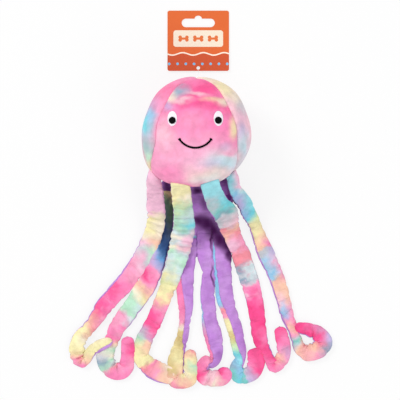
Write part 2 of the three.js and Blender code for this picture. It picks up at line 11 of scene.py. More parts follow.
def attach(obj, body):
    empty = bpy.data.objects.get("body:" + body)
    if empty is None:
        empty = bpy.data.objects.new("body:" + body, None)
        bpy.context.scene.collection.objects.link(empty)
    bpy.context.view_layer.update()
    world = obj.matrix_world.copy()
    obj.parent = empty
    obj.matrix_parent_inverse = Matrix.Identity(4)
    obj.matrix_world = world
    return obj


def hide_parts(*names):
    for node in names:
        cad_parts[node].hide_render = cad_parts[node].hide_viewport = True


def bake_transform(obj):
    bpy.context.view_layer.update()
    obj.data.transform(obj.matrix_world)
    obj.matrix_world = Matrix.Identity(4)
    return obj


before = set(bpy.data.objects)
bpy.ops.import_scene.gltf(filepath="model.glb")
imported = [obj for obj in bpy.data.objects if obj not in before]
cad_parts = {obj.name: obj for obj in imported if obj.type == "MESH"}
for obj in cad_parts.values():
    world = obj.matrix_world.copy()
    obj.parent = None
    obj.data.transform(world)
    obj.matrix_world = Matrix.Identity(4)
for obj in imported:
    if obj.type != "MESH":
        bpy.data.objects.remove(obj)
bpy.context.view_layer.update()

mm = 0.001
scene = bpy.context.scene

dyesAndShades = {  # sRGB, as they look in plain light, except navy, moss, storm, grape and plum, which are darkened with painted shade
    "pink": (255, 140, 190),
    "deepPink": (255, 92, 155),
    "hotPink": (250, 72, 140),
    "rose": (255, 165, 200),
    "blush": (255, 205, 218),
    "salmon": (250, 150, 165),
    "peach": (255, 205, 180),
    "cream": (250, 238, 215),
    "butter": (250, 240, 185),
    "lime": (222, 235, 175),
    "mint": (190, 235, 205),
    "teal": (130, 205, 200),
    "aqua": (120, 220, 232),
    "sky": (150, 205, 240),
    "blue": (110, 170, 225),
    "navy": (50, 80, 130),
    "lavender": (200, 185, 228),
    "mauve": (218, 165, 205),
    "silver": (205, 208, 215),
    "slate": (150, 175, 195),
    "sand": (222, 200, 140),
    "ice": (160, 228, 238),
    "frost": (212, 230, 234),
    "petal": (250, 198, 222),
    # moss and storm, like navy, are green and blue dye darkened with painted shade, for leg 2's root under
    # the head
    "moss": (92, 122, 92),
    "storm": (92, 110, 130),
    "lilac": (194, 136, 217),
    "orchid": (206, 154, 226),
    # grape and plum are painted shade: lilac darkened where shadow falls
    "grape": (130, 70, 150),
    "plum": (74, 18, 82),
}


def linear(rgb):
    def channel(value):
        value /= 255
        return value / 12.92 if value <= 0.04045 else ((value + 0.055) / 1.055) ** 2.4

    return tuple(channel(v) for v in rgb) + (1.0,)


def dye(name):
    return linear(dyesAndShades[name])


class Sock:  # a shader socket that takes Python's operators
    def __init__(self, paint, socket):
        self.paint = paint
        self.socket = socket

    def math(self, operation, *others, swap=False):
        values = [self, *others]
        if swap:
            values.reverse()
        made = self.paint.node("ShaderNodeMath", {"operation": operation}, dict(enumerate(values)))
        return self.paint.out(made)

    def __add__(self, other):
        return self.math("ADD", other)

    def __radd__(self, other):
        return self.math("ADD", other)

    def __sub__(self, other):
        return self.math("SUBTRACT", other)

    def __rsub__(self, other):
        return self.math("SUBTRACT", other, swap=True)

    def __mul__(self, other):
        return self.math("MULTIPLY", other)

    def __rmul__(self, other):
        return self.math("MULTIPLY", other)

    def __truediv__(self, other):
        return self.math("DIVIDE", other)

    def __rtruediv__(self, other):
        return self.math("DIVIDE", other, swap=True)


class Paint:  # a material, or the world, and the nodes in it
    def __init__(self, name, owner=None):
        self.material = owner or bpy.data.materials.new(name)
        self.material.use_nodes = True
        self.tree = self.material.node_tree
        self.tree.nodes.clear()

    def node(self, kind, settings=None, values=None):
        made = self.tree.nodes.new(kind)
        for key, value in (settings or {}).items():
            if key == "stops":
                self.setStops(made.color_ramp, value)
            else:
                setattr(made, key, value)
        for key, value in (values or {}).items():
            socket = made.inputs[key]
            if isinstance(value, Sock):
                self.tree.links.new(value.socket, socket)
            else:
                socket.default_value = value
        return made

    def setStops(self, ramp, stops):
        while len(ramp.elements) > 1:
            ramp.elements.remove(ramp.elements[-1])
        ramp.elements[0].position, ramp.elements[0].color = stops[0]
        for place, color in stops[1:]:
            ramp.elements.new(place).color = color

    def out(self, node, name=0):
        return Sock(self, node.outputs[name])

    def make(self, kind, settings=None, values=None, name=0):
        return self.out(self.node(kind, settings, values), name)

    def mix(self, factor, a, b, blend="MIX"):
        settings = {"data_type": "RGBA", "blend_type": blend}
        return self.make("ShaderNodeMix", settings, {0: factor, 6: a, 7: b}, 2)

    def vector(self, operation, a, b=None, name=0):
        values = {0: a} if b is None else {0: a, 1: b}
        return self.make("ShaderNodeVectorMath", {"operation": operation}, values, name)

    def noise(self, place, scale, detail=2.0, roughness=0.5, output=0):  # 1 is its colour
        values = {"Vector": place, "Scale": scale, "Detail": detail, "Roughness": roughness}
        return self.make("ShaderNodeTexNoise", None, values, output)

    def split(self, vector):
        parts = self.node("ShaderNodeSeparateXYZ", None, {0: vector})
        return self.out(parts, 0), self.out(parts, 1)

    def bump(self, strength, distance, height, normal=None):
        values = {"Strength": strength, "Distance": distance, "Height": height}
        if normal:
            values["Normal"] = normal
        return self.make("ShaderNodeBump", None, values)

    def remap(self, value, low, high, toLow=0.0, toHigh=1.0, kind="SMOOTHSTEP"):
        values = {"Value": value, "From Min": low, "From Max": high, "To Min": toLow, "To Max": toHigh}
        return self.make("ShaderNodeMapRange", {"interpolation_type": kind}, values)

    def rest(self):  # where a point is at rest, which stays with it when the piece bends
        return self.make("ShaderNodeAttribute", {"attribute_name": "restPlace"}, None, "Vector")

    def within(self):  # where a point is in its own object
        return self.make("ShaderNodeTexCoord", None, None, "Object")

    def seen(self):  # 1 for what the camera sees, straight, in a gloss or through something clear
        ray = self.node("ShaderNodeLightPath")
        straight = self.out(ray, "Is Camera Ray").math("MAXIMUM", self.out(ray, "Is Glossy Ray"))
        return straight.math("MAXIMUM", self.out(ray, "Is Transmission Ray"))

    def finish(self, values):
        shader = self.node("ShaderNodeBsdfPrincipled", None, values)
        self.node("ShaderNodeOutputMaterial", None, {"Surface": self.out(shader)})
        return self.material


plush = {
    "pileScale": 900.0,  # tufts per metre
    "pileDepth": 0.5 * mm,
    "pileShade": (0.94, 1.03),
    "tuftScale": 270.0,
    "tuftShade": (0.96, 1.02),
    "brushScale": 130.0,
    "brushStrength": 0.13,
    "foldScale": 0.07,  # per mm of limb
    "foldLength": 9.0,
    "foldWidth": 0.09,
    "foldWarp": 0.35,
    "foldDepth": 0.7 * mm,
    # the share by which painted shade darkens the colour along the fold lines
    "foldShade": 0.05,
    "sheen": 0.2,
    "sheenTint": (1.0, 0.9, 0.97, 1.0),
    "roughness": 0.95,
    "dyeAndShadeCloud": 55.0,
    "dyeAndShadePush": 14 * mm,  # how far a cloud of dye, and of painted shade, wanders
    "bandWave": 1.9,  # stations that a band of dye wanders along a leg
    "bandDrift": 0.9,  # share of the width that it wanders across
}


def finishPlush(paint, color, folds=None):
    place = paint.rest()
    pile = paint.noise(place, plush["pileScale"], 3.0, 0.65)
    tuft = paint.noise(place, plush["tuftScale"], 2.0, 0.6)
    brush = paint.noise(place, plush["brushScale"])
    strength = plush["brushStrength"]
    shade = paint.remap(pile, 0.3, 0.7, *plush["pileShade"], "LINEAR")
    shade = shade * paint.remap(tuft, 0.3, 0.7, *plush["tuftShade"], "LINEAR")
    shade = shade * paint.remap(brush, 0.32, 0.68, 1.0 - strength, 1.0 + strength * 0.35, "LINEAR")
    foldBump = None
    if folds:
        # painted shade: the colour darkens along the fold lines
        shade = shade * paint.remap(folds, 0.0, 1.0, 1.0 - plush["foldShade"], 1.0, "LINEAR")
        foldBump = paint.bump(0.7, plush["foldDepth"], folds)
    grey = paint.make("ShaderNodeCombineXYZ", None, {0: shade, 1: shade, 2: shade})
    return paint.finish({
        "Base Color": paint.mix(1.0, color, grey, "MULTIPLY"),
        "Roughness": plush["roughness"],
        "Specular IOR Level": 0.15,
        "Sheen Weight": plush["sheen"],
        "Sheen Roughness": 0.45,
        "Sheen Tint": plush["sheenTint"],
        "Normal": paint.bump(0.5, plush["pileDepth"], pile * 0.6 + tuft * 0.4, foldBump),
    })


def foldLines(paint):  # 0 along thin folds that cross a limb, 1 between them
    uv = paint.make("ShaderNodeUVMap", {"uv_map": "run"})
    warp = paint.noise(paint.rest(), 70.0) - 0.5
    along, across = paint.split(uv)
    values = {0: along + warp * plush["foldWarp"], 1: across * plush["foldLength"], 2: 0.0}
    wave = paint.noise(paint.make("ShaderNodeCombineXYZ", None, values), plush["foldScale"])
    return paint.remap((wave - 0.5).math("ABSOLUTE"), 0.0, plush["foldWidth"])


def spotPaint(name, base, spots, second=None):
    # clouds of dye, and on the lilac lining clouds of painted shade, each (x, y, z, three radii, colour,
    # strength), in mm
    paint = Paint(name)
    place = paint.rest()
    cloud = paint.noise(place, plush["dyeAndShadeCloud"], output=1)
    push = paint.vector("SUBTRACT", cloud, (0.5, 0.5, 0.5))
    moved = paint.vector("ADD", place, paint.vector("MULTIPLY", push, (plush["dyeAndShadePush"],) * 3))
    color = dye(base)
    if second:
        color = paint.mix(paint.remap(paint.noise(place, 60.0), 0.35, 0.65), color, dye(second))
    for x, y, z, rx, ry, rz, cloudColour, strength in spots:
        offset = paint.vector("SUBTRACT", moved, (x * mm, y * mm, z * mm))
        scaled = paint.vector("DIVIDE", offset, (rx * mm, ry * mm, rz * mm))
        away = paint.vector("LENGTH", scaled, name="Value")
        color = paint.mix(paint.remap(away, 0.1, 1.35, strength, 0.0), color, dye(cloudColour))
    return finishPlush(paint, color, foldLines(paint) if second else None)


def bandPaint(name, last, words):  # bands of dye along a leg: "station left-dye right-dye, ..."
    paint = Paint(name)
    place = paint.rest()
    bands = [entry.split() for entry in words.split(", ")]
    along, across = paint.split(paint.make("ShaderNodeUVMap", {"uv_map": "along"}))
    wave = paint.noise(place, 70.0, 3.0, 0.55) - 0.5
    drift = paint.noise(place, 90.0) - 0.5
    along = along + wave * (plush["bandWave"] / last)
    across = across + drift * plush["bandDrift"]
    sides = []
    for side in (1, -1):  # where one dye is named, it goes right across
        stops = [(float(band[0]) / last, dye(band[side])) for band in bands]
        sides.append(paint.make("ShaderNodeValToRGB", {"stops": stops}, {0: along}))
    color = paint.mix(paint.remap(across, 0.2, 0.8), sides[1], sides[0])
    return finishPlush(paint, color, foldLines(paint))


def bell(away, half):
    return np.exp(-((away / half) ** 2))


def unit(vectors):
    return vectors / np.maximum(np.linalg.norm(vectors, axis=1), 1e-12)[:, None]


def circle(count):
    return np.linspace(0, 2 * math.pi, count, endpoint=False)


def runAlong(line):  # the way from a line's start to each of its points
    return np.concatenate([[0], np.cumsum(np.linalg.norm(np.diff(line, axis=0), axis=1))])


def noiseAt(points, scale, seed):
    offset = Vector((seed * 7.3, seed * 3.1, seed * 5.7))
    return np.array([noise.noise(Vector(p) * scale + offset) for p in points])


def added(name, data, place=(0, 0, 0)):
    obj = bpy.data.objects.new(name, data)
    obj.location = place
    scene.collection.objects.link(obj)
    return obj


def meshObject(name, points, faces, along=None, run=None):  # along and run are maps, per point
    mesh = bpy.data.meshes.new(name)
    mesh.from_pydata([tuple(p) for p in points], [], [tuple(f) for f in faces])
    rest = mesh.attributes.new("restPlace", "FLOAT_VECTOR", "POINT")
    rest.data.foreach_set("vector", np.asarray(points, dtype=np.float32).ravel())
    for mapName, values in (("along", along), ("run", run)):
        if values is not None:
            layer = mesh.uv_layers.new(name=mapName)
            loops = np.empty(len(mesh.loops), dtype=np.int32)
            mesh.loops.foreach_get("vertex_index", loops)
            layer.data.foreach_set("uv", np.asarray(values, dtype=np.float32)[loops].ravel())
    mesh.validate()
    mesh.polygons.foreach_set("use_smooth", [True] * len(mesh.polygons))
    return added(name, mesh)


def dress(obj, material):
    obj.data.materials.append(material)
    return obj


def weld(obj, distance=0.02 * mm):
    work = bmesh.new()
    work.from_mesh(obj.data)
    bmesh.ops.remove_doubles(work, verts=work.verts, dist=distance)
    bmesh.ops.dissolve_degenerate(work, edges=work.edges, dist=distance / 2)
    bmesh.ops.recalc_face_normals(work, faces=work.faces)
    work.to_mesh(obj.data)
    work.free()
    obj.data.polygons.foreach_set("use_smooth", [True] * len(obj.data.polygons))
    return obj


def clothShape(points, faces, held, look):
    # the cloth grows a little and fills out while the held points stay; big units suit the solver
    size = 20.0
    frames = look["clothFrames"]
    mesh = bpy.data.meshes.new("clothTrial")
    mesh.from_pydata([tuple(p) for p in points * size], [], [tuple(f) for f in faces])
    obj = added("clothTrial", mesh)
    group = obj.vertex_groups.new(name="held")
    group.add([int(i) for i in held], 1.0, "REPLACE")
    modifier = obj.modifiers.new("cloth", "CLOTH")
    cloth = modifier.settings
    cloth.quality = 5
    cloth.mass = 0.3
    cloth.tension_stiffness = 15
    cloth.compression_stiffness = 15
    cloth.shear_stiffness = 8
    cloth.bending_stiffness = look["bending"]
    cloth.air_damping = 2
    cloth.use_pressure = True
    cloth.uniform_pressure_force = look["pressure"]
    cloth.vertex_group_mass = "held"
    cloth.shrink_min = -look["growth"]
    cloth.effector_weights.gravity = 0
    modifier.collision_settings.use_collision = False
    modifier.point_cache.frame_start = 1
    modifier.point_cache.frame_end = frames
    for step in range(1, frames + 1):
        scene.frame_set(step)
    shaped = obj.evaluated_get(bpy.context.evaluated_depsgraph_get())
    result = np.array([v.co for v in shaped.data.vertices]) / size
    bpy.data.objects.remove(obj)
    bpy.data.meshes.remove(mesh)
    scene.frame_set(1)
    if not np.isfinite(result).all():
        return points
    move = result - points
    length = np.linalg.norm(move, axis=1, keepdims=True)
    return points + move * np.minimum(1, look["clothReach"] / np.maximum(length, 1e-9))


# the stuffed ball head: crowned panels sewn along their rims
head = {
    "width": 103 * mm,
    "length": 102 * mm,
    "depth": 92 * mm,
    "crownFullness": 2.0,
    "chinFullness": 2.4,
    "restCut": 0.5 * mm,  # how far its back is pressed flat on the ground
    "seamSide": 50,  # degrees from straight up
    "seamCrown": 75,
    "seamChin": 108,
    "seamDrop": 86,
    "backSeam": 128,
    "bulge": 0.6 * mm,
    "browNarrow": 0.055,
    "crownNarrow": 0.005,
    "lean": -3.9 * mm,
    "chinLip": 3.2 * mm,  # how far the chin hangs over the front legs
    "chinRise": 25,  # degrees above level
    "chinSpread": 16,
    "groove": 1.2 * mm,
    "grooveWidth": 1.2 * mm,
    "plush": 2.6 * mm,
    "lumps": 0.5 * mm,
    "puckers": 0.45 * mm,  # small ones, along the seams
    "growth": 0.005,  # share that the cloth grows while it fills out
    "pressure": 1.0,
    "bending": 0.5,
    "clothFrames": 12,
    "clothReach": 2 * mm,  # the furthest that a point moves
    "clothHeld": 1.6 * mm,  # from the seams
    "baseRadius": 29.5 * mm,
    "baseDrop": -10 * mm,
}
headCentreZ = head["depth"] / 2 - head["restCut"]


def skinRadius(direction):
    radius = np.full(len(direction), head["length"] / 2)
    half = head["length"] / 2
    for _ in range(8):
        y = np.clip(radius * direction[:, 1], -half, half)
        n = head["chinFullness"] + (head["crownFullness"] - head["chinFullness"]) * (y + half) / (2 * half)
        sizes = zip(direction.T, (head["width"], head["length"], head["depth"]))
        radius = sum(np.abs(2 * part / size) ** n for part, size in sizes) ** (-1 / n)
    rise = np.degrees(np.arctan2(direction[:, 2], -direction[:, 1]))
    chin = bell(rise - head["chinRise"], head["chinSpread"]) * np.exp(-((direction[:, 0] / 0.6) ** 4))
    return radius + head["chinLip"] * chin


def headPoints(polar, azimuth, lift):
    flat = np.sin(polar)
    direction = np.stack([flat * np.cos(azimuth), flat * np.sin(azimuth), np.cos(polar)], axis=1)
    return leaned(direction * (skinRadius(direction) + lift)[:, None])


def leanAt(y):  # the stuffed head is a little egg-shaped and its chin leans to one side
    brow = head["browNarrow"] * bell(y - 20 * mm, 17 * mm)
    narrow = 1 - brow - head["crownNarrow"] * (1 + np.tanh(y / (15 * mm)))
    low = np.clip((-8 * mm - y) / (36 * mm), 0, 1)
    return narrow, head["lean"] * low**2 * (3 - 2 * low)


def leaned(points):
    narrow, shift = leanAt(points[:, 1])
    points[:, 0] = points[:, 0] * narrow + shift
    points[:, 2] += headCentreZ
    return points


def aboveSkin(points):  # distance outside the head's skin
    offset = points - np.array([0, 0, headCentreZ])
    narrow, shift = leanAt(offset[:, 1])
    offset[:, 0] = (offset[:, 0] - shift) / narrow
    distance = np.linalg.norm(offset, axis=1)
    return distance - skinRadius(offset / np.maximum(distance, 1e-9)[:, None])


def faceSeam(azimuth):
    rise = np.sin(azimuth)
    upper = head["seamSide"] + (head["seamCrown"] - head["seamSide"]) * np.maximum(rise, 0) ** 6
    lower = np.minimum(head["seamSide"] + head["seamDrop"] * np.abs(rise) ** 3, head["seamChin"])
    return np.radians(np.where(rise > 0, upper, lower))


def skinFaces(rows, columns, isRound):
    span = columns if isRound else columns - 1
    steps = [(r * columns, c) for r in range(rows - 1) for c in range(span)]
    corners = [(row + c, row + (c + 1) % columns) for row, c in steps]
    return [(a, a + columns, b + columns, b) for a, b in corners]


def shellFaces(rows, columns, isRound):
    # a skin and its lining, rows by columns, with closed rims
    faces = []
    lower = rows * columns
    span = columns if isRound else columns - 1
    for a, d, e, b in skinFaces(rows, columns, isRound):
        faces.append((a, d, e, b))
        faces.append((lower + a, lower + b, lower + e, lower + d))
    for c in range(span):
        a, b = c, (c + 1) % columns
        faces.append((a, b, lower + b, lower + a))
        a, b = (rows - 1) * columns + c, (rows - 1) * columns + (c + 1) % columns
        faces.append((a, lower + a, lower + b, b))
    if not isRound:
        for r in range(rows - 1):
            a = r * columns
            faces.append((a, lower + a, lower + a + columns, a + columns))
            a += columns - 1
            faces.append((a, a + columns, lower + a + columns, lower + a))
    return faces


def headPanel(name, firstEdge, lastEdge, azimuths, rows, seed, isRound=True):
    # the edges give the polar angles of the panel's two rims at an azimuth
    columns = len(azimuths)
    share = np.linspace(0, 1, rows)
    first, last = firstEdge(azimuths)[None, :], lastEdge(azimuths)[None, :]
    polar = first + (last - first) * share[:, None]
    azimuth = np.repeat(azimuths[None, :], rows, axis=0)
    radius = head["length"] / 2
    edges = []
    if first.max() > 0:
        edges.append((polar - first) * radius)
    if last.max() < math.pi:
        edges.append((last - polar) * radius)
    if not isRound:
        edges.append((azimuth - azimuths[0]) * radius * np.sin(polar))
        edges.append((azimuths[-1] - azimuth) * radius * np.sin(polar))
    distance = np.minimum.reduce(edges).ravel()
    lift = head["bulge"] * (1 - np.exp(-distance / (9 * mm)))
    lift -= head["groove"] * bell(distance, head["grooveWidth"])
    points = headPoints(polar.ravel(), azimuth.ravel(), lift)
    outward = unit(points - np.array([0, 0, headCentreZ]))
    lumps = noiseAt(points, 38.0, seed) * head["lumps"]
    puckers = noiseAt(points, 190.0, seed + 3) * head["puckers"] * np.exp(-distance / (5 * mm))
    points = points + outward * ((lumps + puckers) * (distance > 0.2 * mm))[:, None]
    held = np.nonzero(distance < head["clothHeld"])[0]
    points = clothShape(points, skinFaces(rows, columns, isRound), held, head)
    points[:, 2] = np.maximum(points[:, 2], 0.0)
    inner = points - outward * head["plush"]
    inner[:, 2] = np.maximum(inner[:, 2], 1 * mm)
    return weld(meshObject(name, np.concatenate([points, inner]), shellFaces(rows, columns, isRound)))


def levelEdge(degrees):
    def edge(azimuth):
        return np.full_like(azimuth, math.radians(degrees))

    return edge


front, back, pole = levelEdge(0), levelEdge(head["backSeam"]), levelEdge(180)
leftTurn = np.linspace(math.pi / 2, 3 * math.pi / 2, 110)
rightTurn = np.linspace(-math.pi / 2, math.pi / 2, 110)
facePanel = headPanel("facePanel", front, faceSeam, circle(180), 60, 1)
sidePanelLeft = headPanel("sidePanelLeft", faceSeam, back, leftTurn, 52, 2, isRound=False)
sidePanelRight = headPanel("sidePanelRight", faceSeam, back, rightTurn, 52, 5, isRound=False)
backPanel = headPanel("backPanel", back, pole, circle(180), 36, 7)

faceDyes = [
    (0, -27, 72, 58, 26, 60, "petal", 0.75), (-30, -4, 70, 14, 18, 50, "blush", 0.8),
    (-6, 8, 90, 16, 12, 50, "rose", 0.6), (-8, 27, 84, 22, 9, 50, "hotPink", 0.5),
    (8, 40, 72, 20, 10, 50, "deepPink", 1.0), (1, 27, 84, 13, 6, 50, "deepPink", 0.95),
    (18, 24, 80, 14, 6, 50, "deepPink", 0.8), (32, 16, 72, 9, 7, 50, "hotPink", 0.7),
    (-24, 42, 66, 15, 8, 50, "deepPink", 0.7), (-15, 36, 76, 12, 7, 50, "slate", 0.95),
    (-25, 31, 72, 10, 7, 50, "cream", 0.9), (-28, 22, 74, 8, 7, 50, "lavender", 0.7),
    (-12, 27.5, 80, 13, 3, 50, "blush", 0.85), (2, 33.5, 80, 12, 2.8, 50, "blush", 0.8),
    (18, 28.5, 76, 14, 3.4, 50, "peach", 0.95), (28, 26, 72, 8, 5, 50, "cream", 0.95),
    (34, 1, 68, 6, 11, 50, "butter", 0.9), (26, -15, 74, 9, 5, 50, "mauve", 0.8),
    (12, -6, 86, 12, 6, 50, "rose", 0.5), (-22, -22, 76, 14, 8, 50, "rose", 0.7),
    (-24, -38, 60, 16, 9, 50, "pink", 0.75), (24, -29, 66, 24, 14, 50, "frost", 1.0),
    (28, -33, 64, 12, 9, 50, "ice", 0.35), (30, -21, 66, 12, 4, 50, "rose", 0.7),
    (16, -31, 70, 13, 7, 50, "lavender", 0.35), (12, -43, 55, 24, 9, 50, "cream", 0.9),
    (13, -46, 48, 18, 7, 50, "frost", 0.8), (-4, -36, 66, 14, 6, 50, "blush", 0.7),
]
leftDyes = [
    (-32, 38, 60, 20, 18, 50, "deepPink", 0.55), (-42, 25, 60, 12, 10, 50, "mauve", 0.95),
    (-48, 6, 56, 11, 18, 50, "aqua", 1.0), (-44, 14, 66, 8, 9, 40, "sky", 0.8),
    (-47, -16, 56, 12, 12, 50, "teal", 0.8), (-44, -26, 54, 11, 10, 40, "mint", 0.95),
    (-40, -36, 50, 10, 9, 40, "butter", 0.9), (-53, -24, 34, 6, 22, 30, "rose", 0.9),
    (-52, 24, 38, 6, 14, 30, "pink", 0.8), (-46, -40, 30, 12, 12, 16, "pink", 0.85),
    (-34, -44, 60, 10, 8, 30, "blush", 0.6), (-15, 48, 40, 20, 10, 26, "pink", 0.8),
]
rightDyes = [
    (8, 50, 55, 16, 9, 30, "cream", 0.95), (26, 40, 55, 16, 12, 40, "butter", 0.9),
    (37, 30, 52, 13, 10, 40, "cream", 0.9), (43, 21, 54, 9, 10, 40, "silver", 0.8),
    (42, 11, 62, 7, 9, 40, "petal", 0.95), (42, -1, 64, 8, 9, 40, "lavender", 0.7),
    (44, -15, 58, 9, 15, 40, "ice", 0.7), (51, 0, 42, 5, 24, 30, "blush", 0.95),
    (42, -32, 50, 12, 11, 40, "silver", 0.9), (36, -41, 40, 12, 9, 30, "cream", 0.7),
    (24, -48, 40, 14, 8, 30, "mint", 0.6), (40, 30, 20, 16, 20, 14, "pink", 0.8),
    (46, -8, 20, 10, 20, 12, "aqua", 0.7),
]
backDyes = [
    (-10, 20, 5, 24, 20, 20, "deepPink", 0.7), (18, 4, 2, 20, 16, 16, "cream", 0.8),
    (-22, -14, 4, 18, 16, 16, "aqua", 0.7), (10, -28, 5, 18, 12, 16, "lavender", 0.8),
    (28, 28, 8, 14, 14, 14, "mint", 0.7),
]
dress(facePanel, spotPaint("facePlush", "pink", faceDyes))
dress(sidePanelLeft, spotPaint("leftGussetPlush", "rose", leftDyes))
dress(sidePanelRight, spotPaint("rightGussetPlush", "blush", rightDyes))
dress(backPanel, spotPaint("backPlush", "pink", backDyes))
# the plum and grape clouds here are painted shade on the lilac lining: under the head, between the legs'
# roots, along the slit between legs 5 and 6, and in leg 7's shadow across the skirt
liningPaintedShade = [
    (1, -56, 40, 9, 5, 60, "plum", 1.0), (2, -64, 30, 9, 4, 60, "grape", 0.4),
    (9, -70, 25, 5, 8, 40, "plum", 0.6), (2, -85, 5, 9, 9, 30, "plum", 1.0),
    (9, -89, 5, 10, 10, 30, "plum", 1.0), (16, -95, 5, 9, 12, 30, "plum", 1.0),
    (22, -102, 5, 8, 11, 30, "plum", 1.0), (14.6, -103, 4, 1.7, 19, 30, "plum", 0.95),
    (17, -140, 4, 1.4, 13, 30, "plum", 0.85), (27, -107, 5, 7, 9, 30, "plum", 0.95),
    (31, -115, 5, 6, 9, 30, "plum", 0.95), (34, -123, 5, 4, 8, 30, "plum", 0.9),
    (-28, -54, 45, 8, 14, 60, "plum", 1.0), (-27, -70, 20, 6, 12, 60, "plum", 0.9),
    (26, -46, 50, 7, 8, 60, "plum", 0.8), (31, -56, 40, 6, 7, 60, "plum", 0.7),
    (38, -68, 30, 6, 10, 60, "plum", 0.95), (-20, -178, 5, 4, 6, 30, "grape", 0.4),
    (20, -214, 5, 6, 6, 30, "grape", 0.4),
]
lilacPlush = spotPaint("lilacPlush", "lilac", liningPaintedShade, "orchid")

for piece, node in [
    (facePanel, "face_panel"),
    (sidePanelLeft, "side_panel_left"),
    (sidePanelRight, "side_panel_right"),
    (backPanel, "back_panel"),
]:
    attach(piece, "head")
    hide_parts(node)


def baseDisc():
    rows, columns = 16, 96
    share = np.linspace(0, 1, rows)
    angle = circle(columns)
    x = (share[:, None] * np.cos(angle)[None, :] * head["baseRadius"]).ravel()
    z = (head["baseDrop"] + share[:, None] * np.sin(angle)[None, :] * head["baseRadius"] * 0.6).ravel()
    y = -np.sqrt(np.maximum(0, (head["length"] / 2) ** 2 - x**2 - z**2))
    direction = unit(np.stack([x, y, z], axis=1))
    lift = 0.5 * mm + 0.6 * mm * (1 - np.repeat(share, columns) ** 4)
    points = leaned(direction * (skinRadius(direction) + lift)[:, None])
    inner = points - direction * 1.2 * mm
    return weld(meshObject("basePanel", np.concatenate([points, inner]), shellFaces(rows, columns, True)))


basePanel = dress(baseDisc(), lilacPlush)
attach(basePanel, "head")
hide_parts("base_panel")
print("stage: head panels")

# eight legs of two plies each, and the skirt behind them
legShape = {
    "thickness": 6.5 * mm,
    "webThickness": 5 * mm,
    "floor": 0.1 * mm,  # the lowest that a ply lies
    "clearance": 0.6 * mm,  # between a ply and the head's skin
    "overWeb": 5.6,  # mm, how high leg 3 lies where it crosses the skirt
    "ringStep": 1.2 * mm,
    "plump": 0.8 * mm,
    "wrinkle": 0.5 * mm,
    "bendPleat": 0.9 * mm,
    "bend": 0.22,  # sine of the turn over 8 mm from which a leg counts as bent
    "ripple": 0.7 * mm,
    "fineRipple": 0.3 * mm,
    "columns": 32,
    "groove": 0.5 * mm,
    "plyShare": 0.4,  # of the way from the skin to the middle
    "growth": 0.008,
    "pressure": 0.8,
    "bending": 0.8,
    "clothFrames": 14,
    "clothReach": 1.5 * mm,
    "tip": 5 * mm,
}
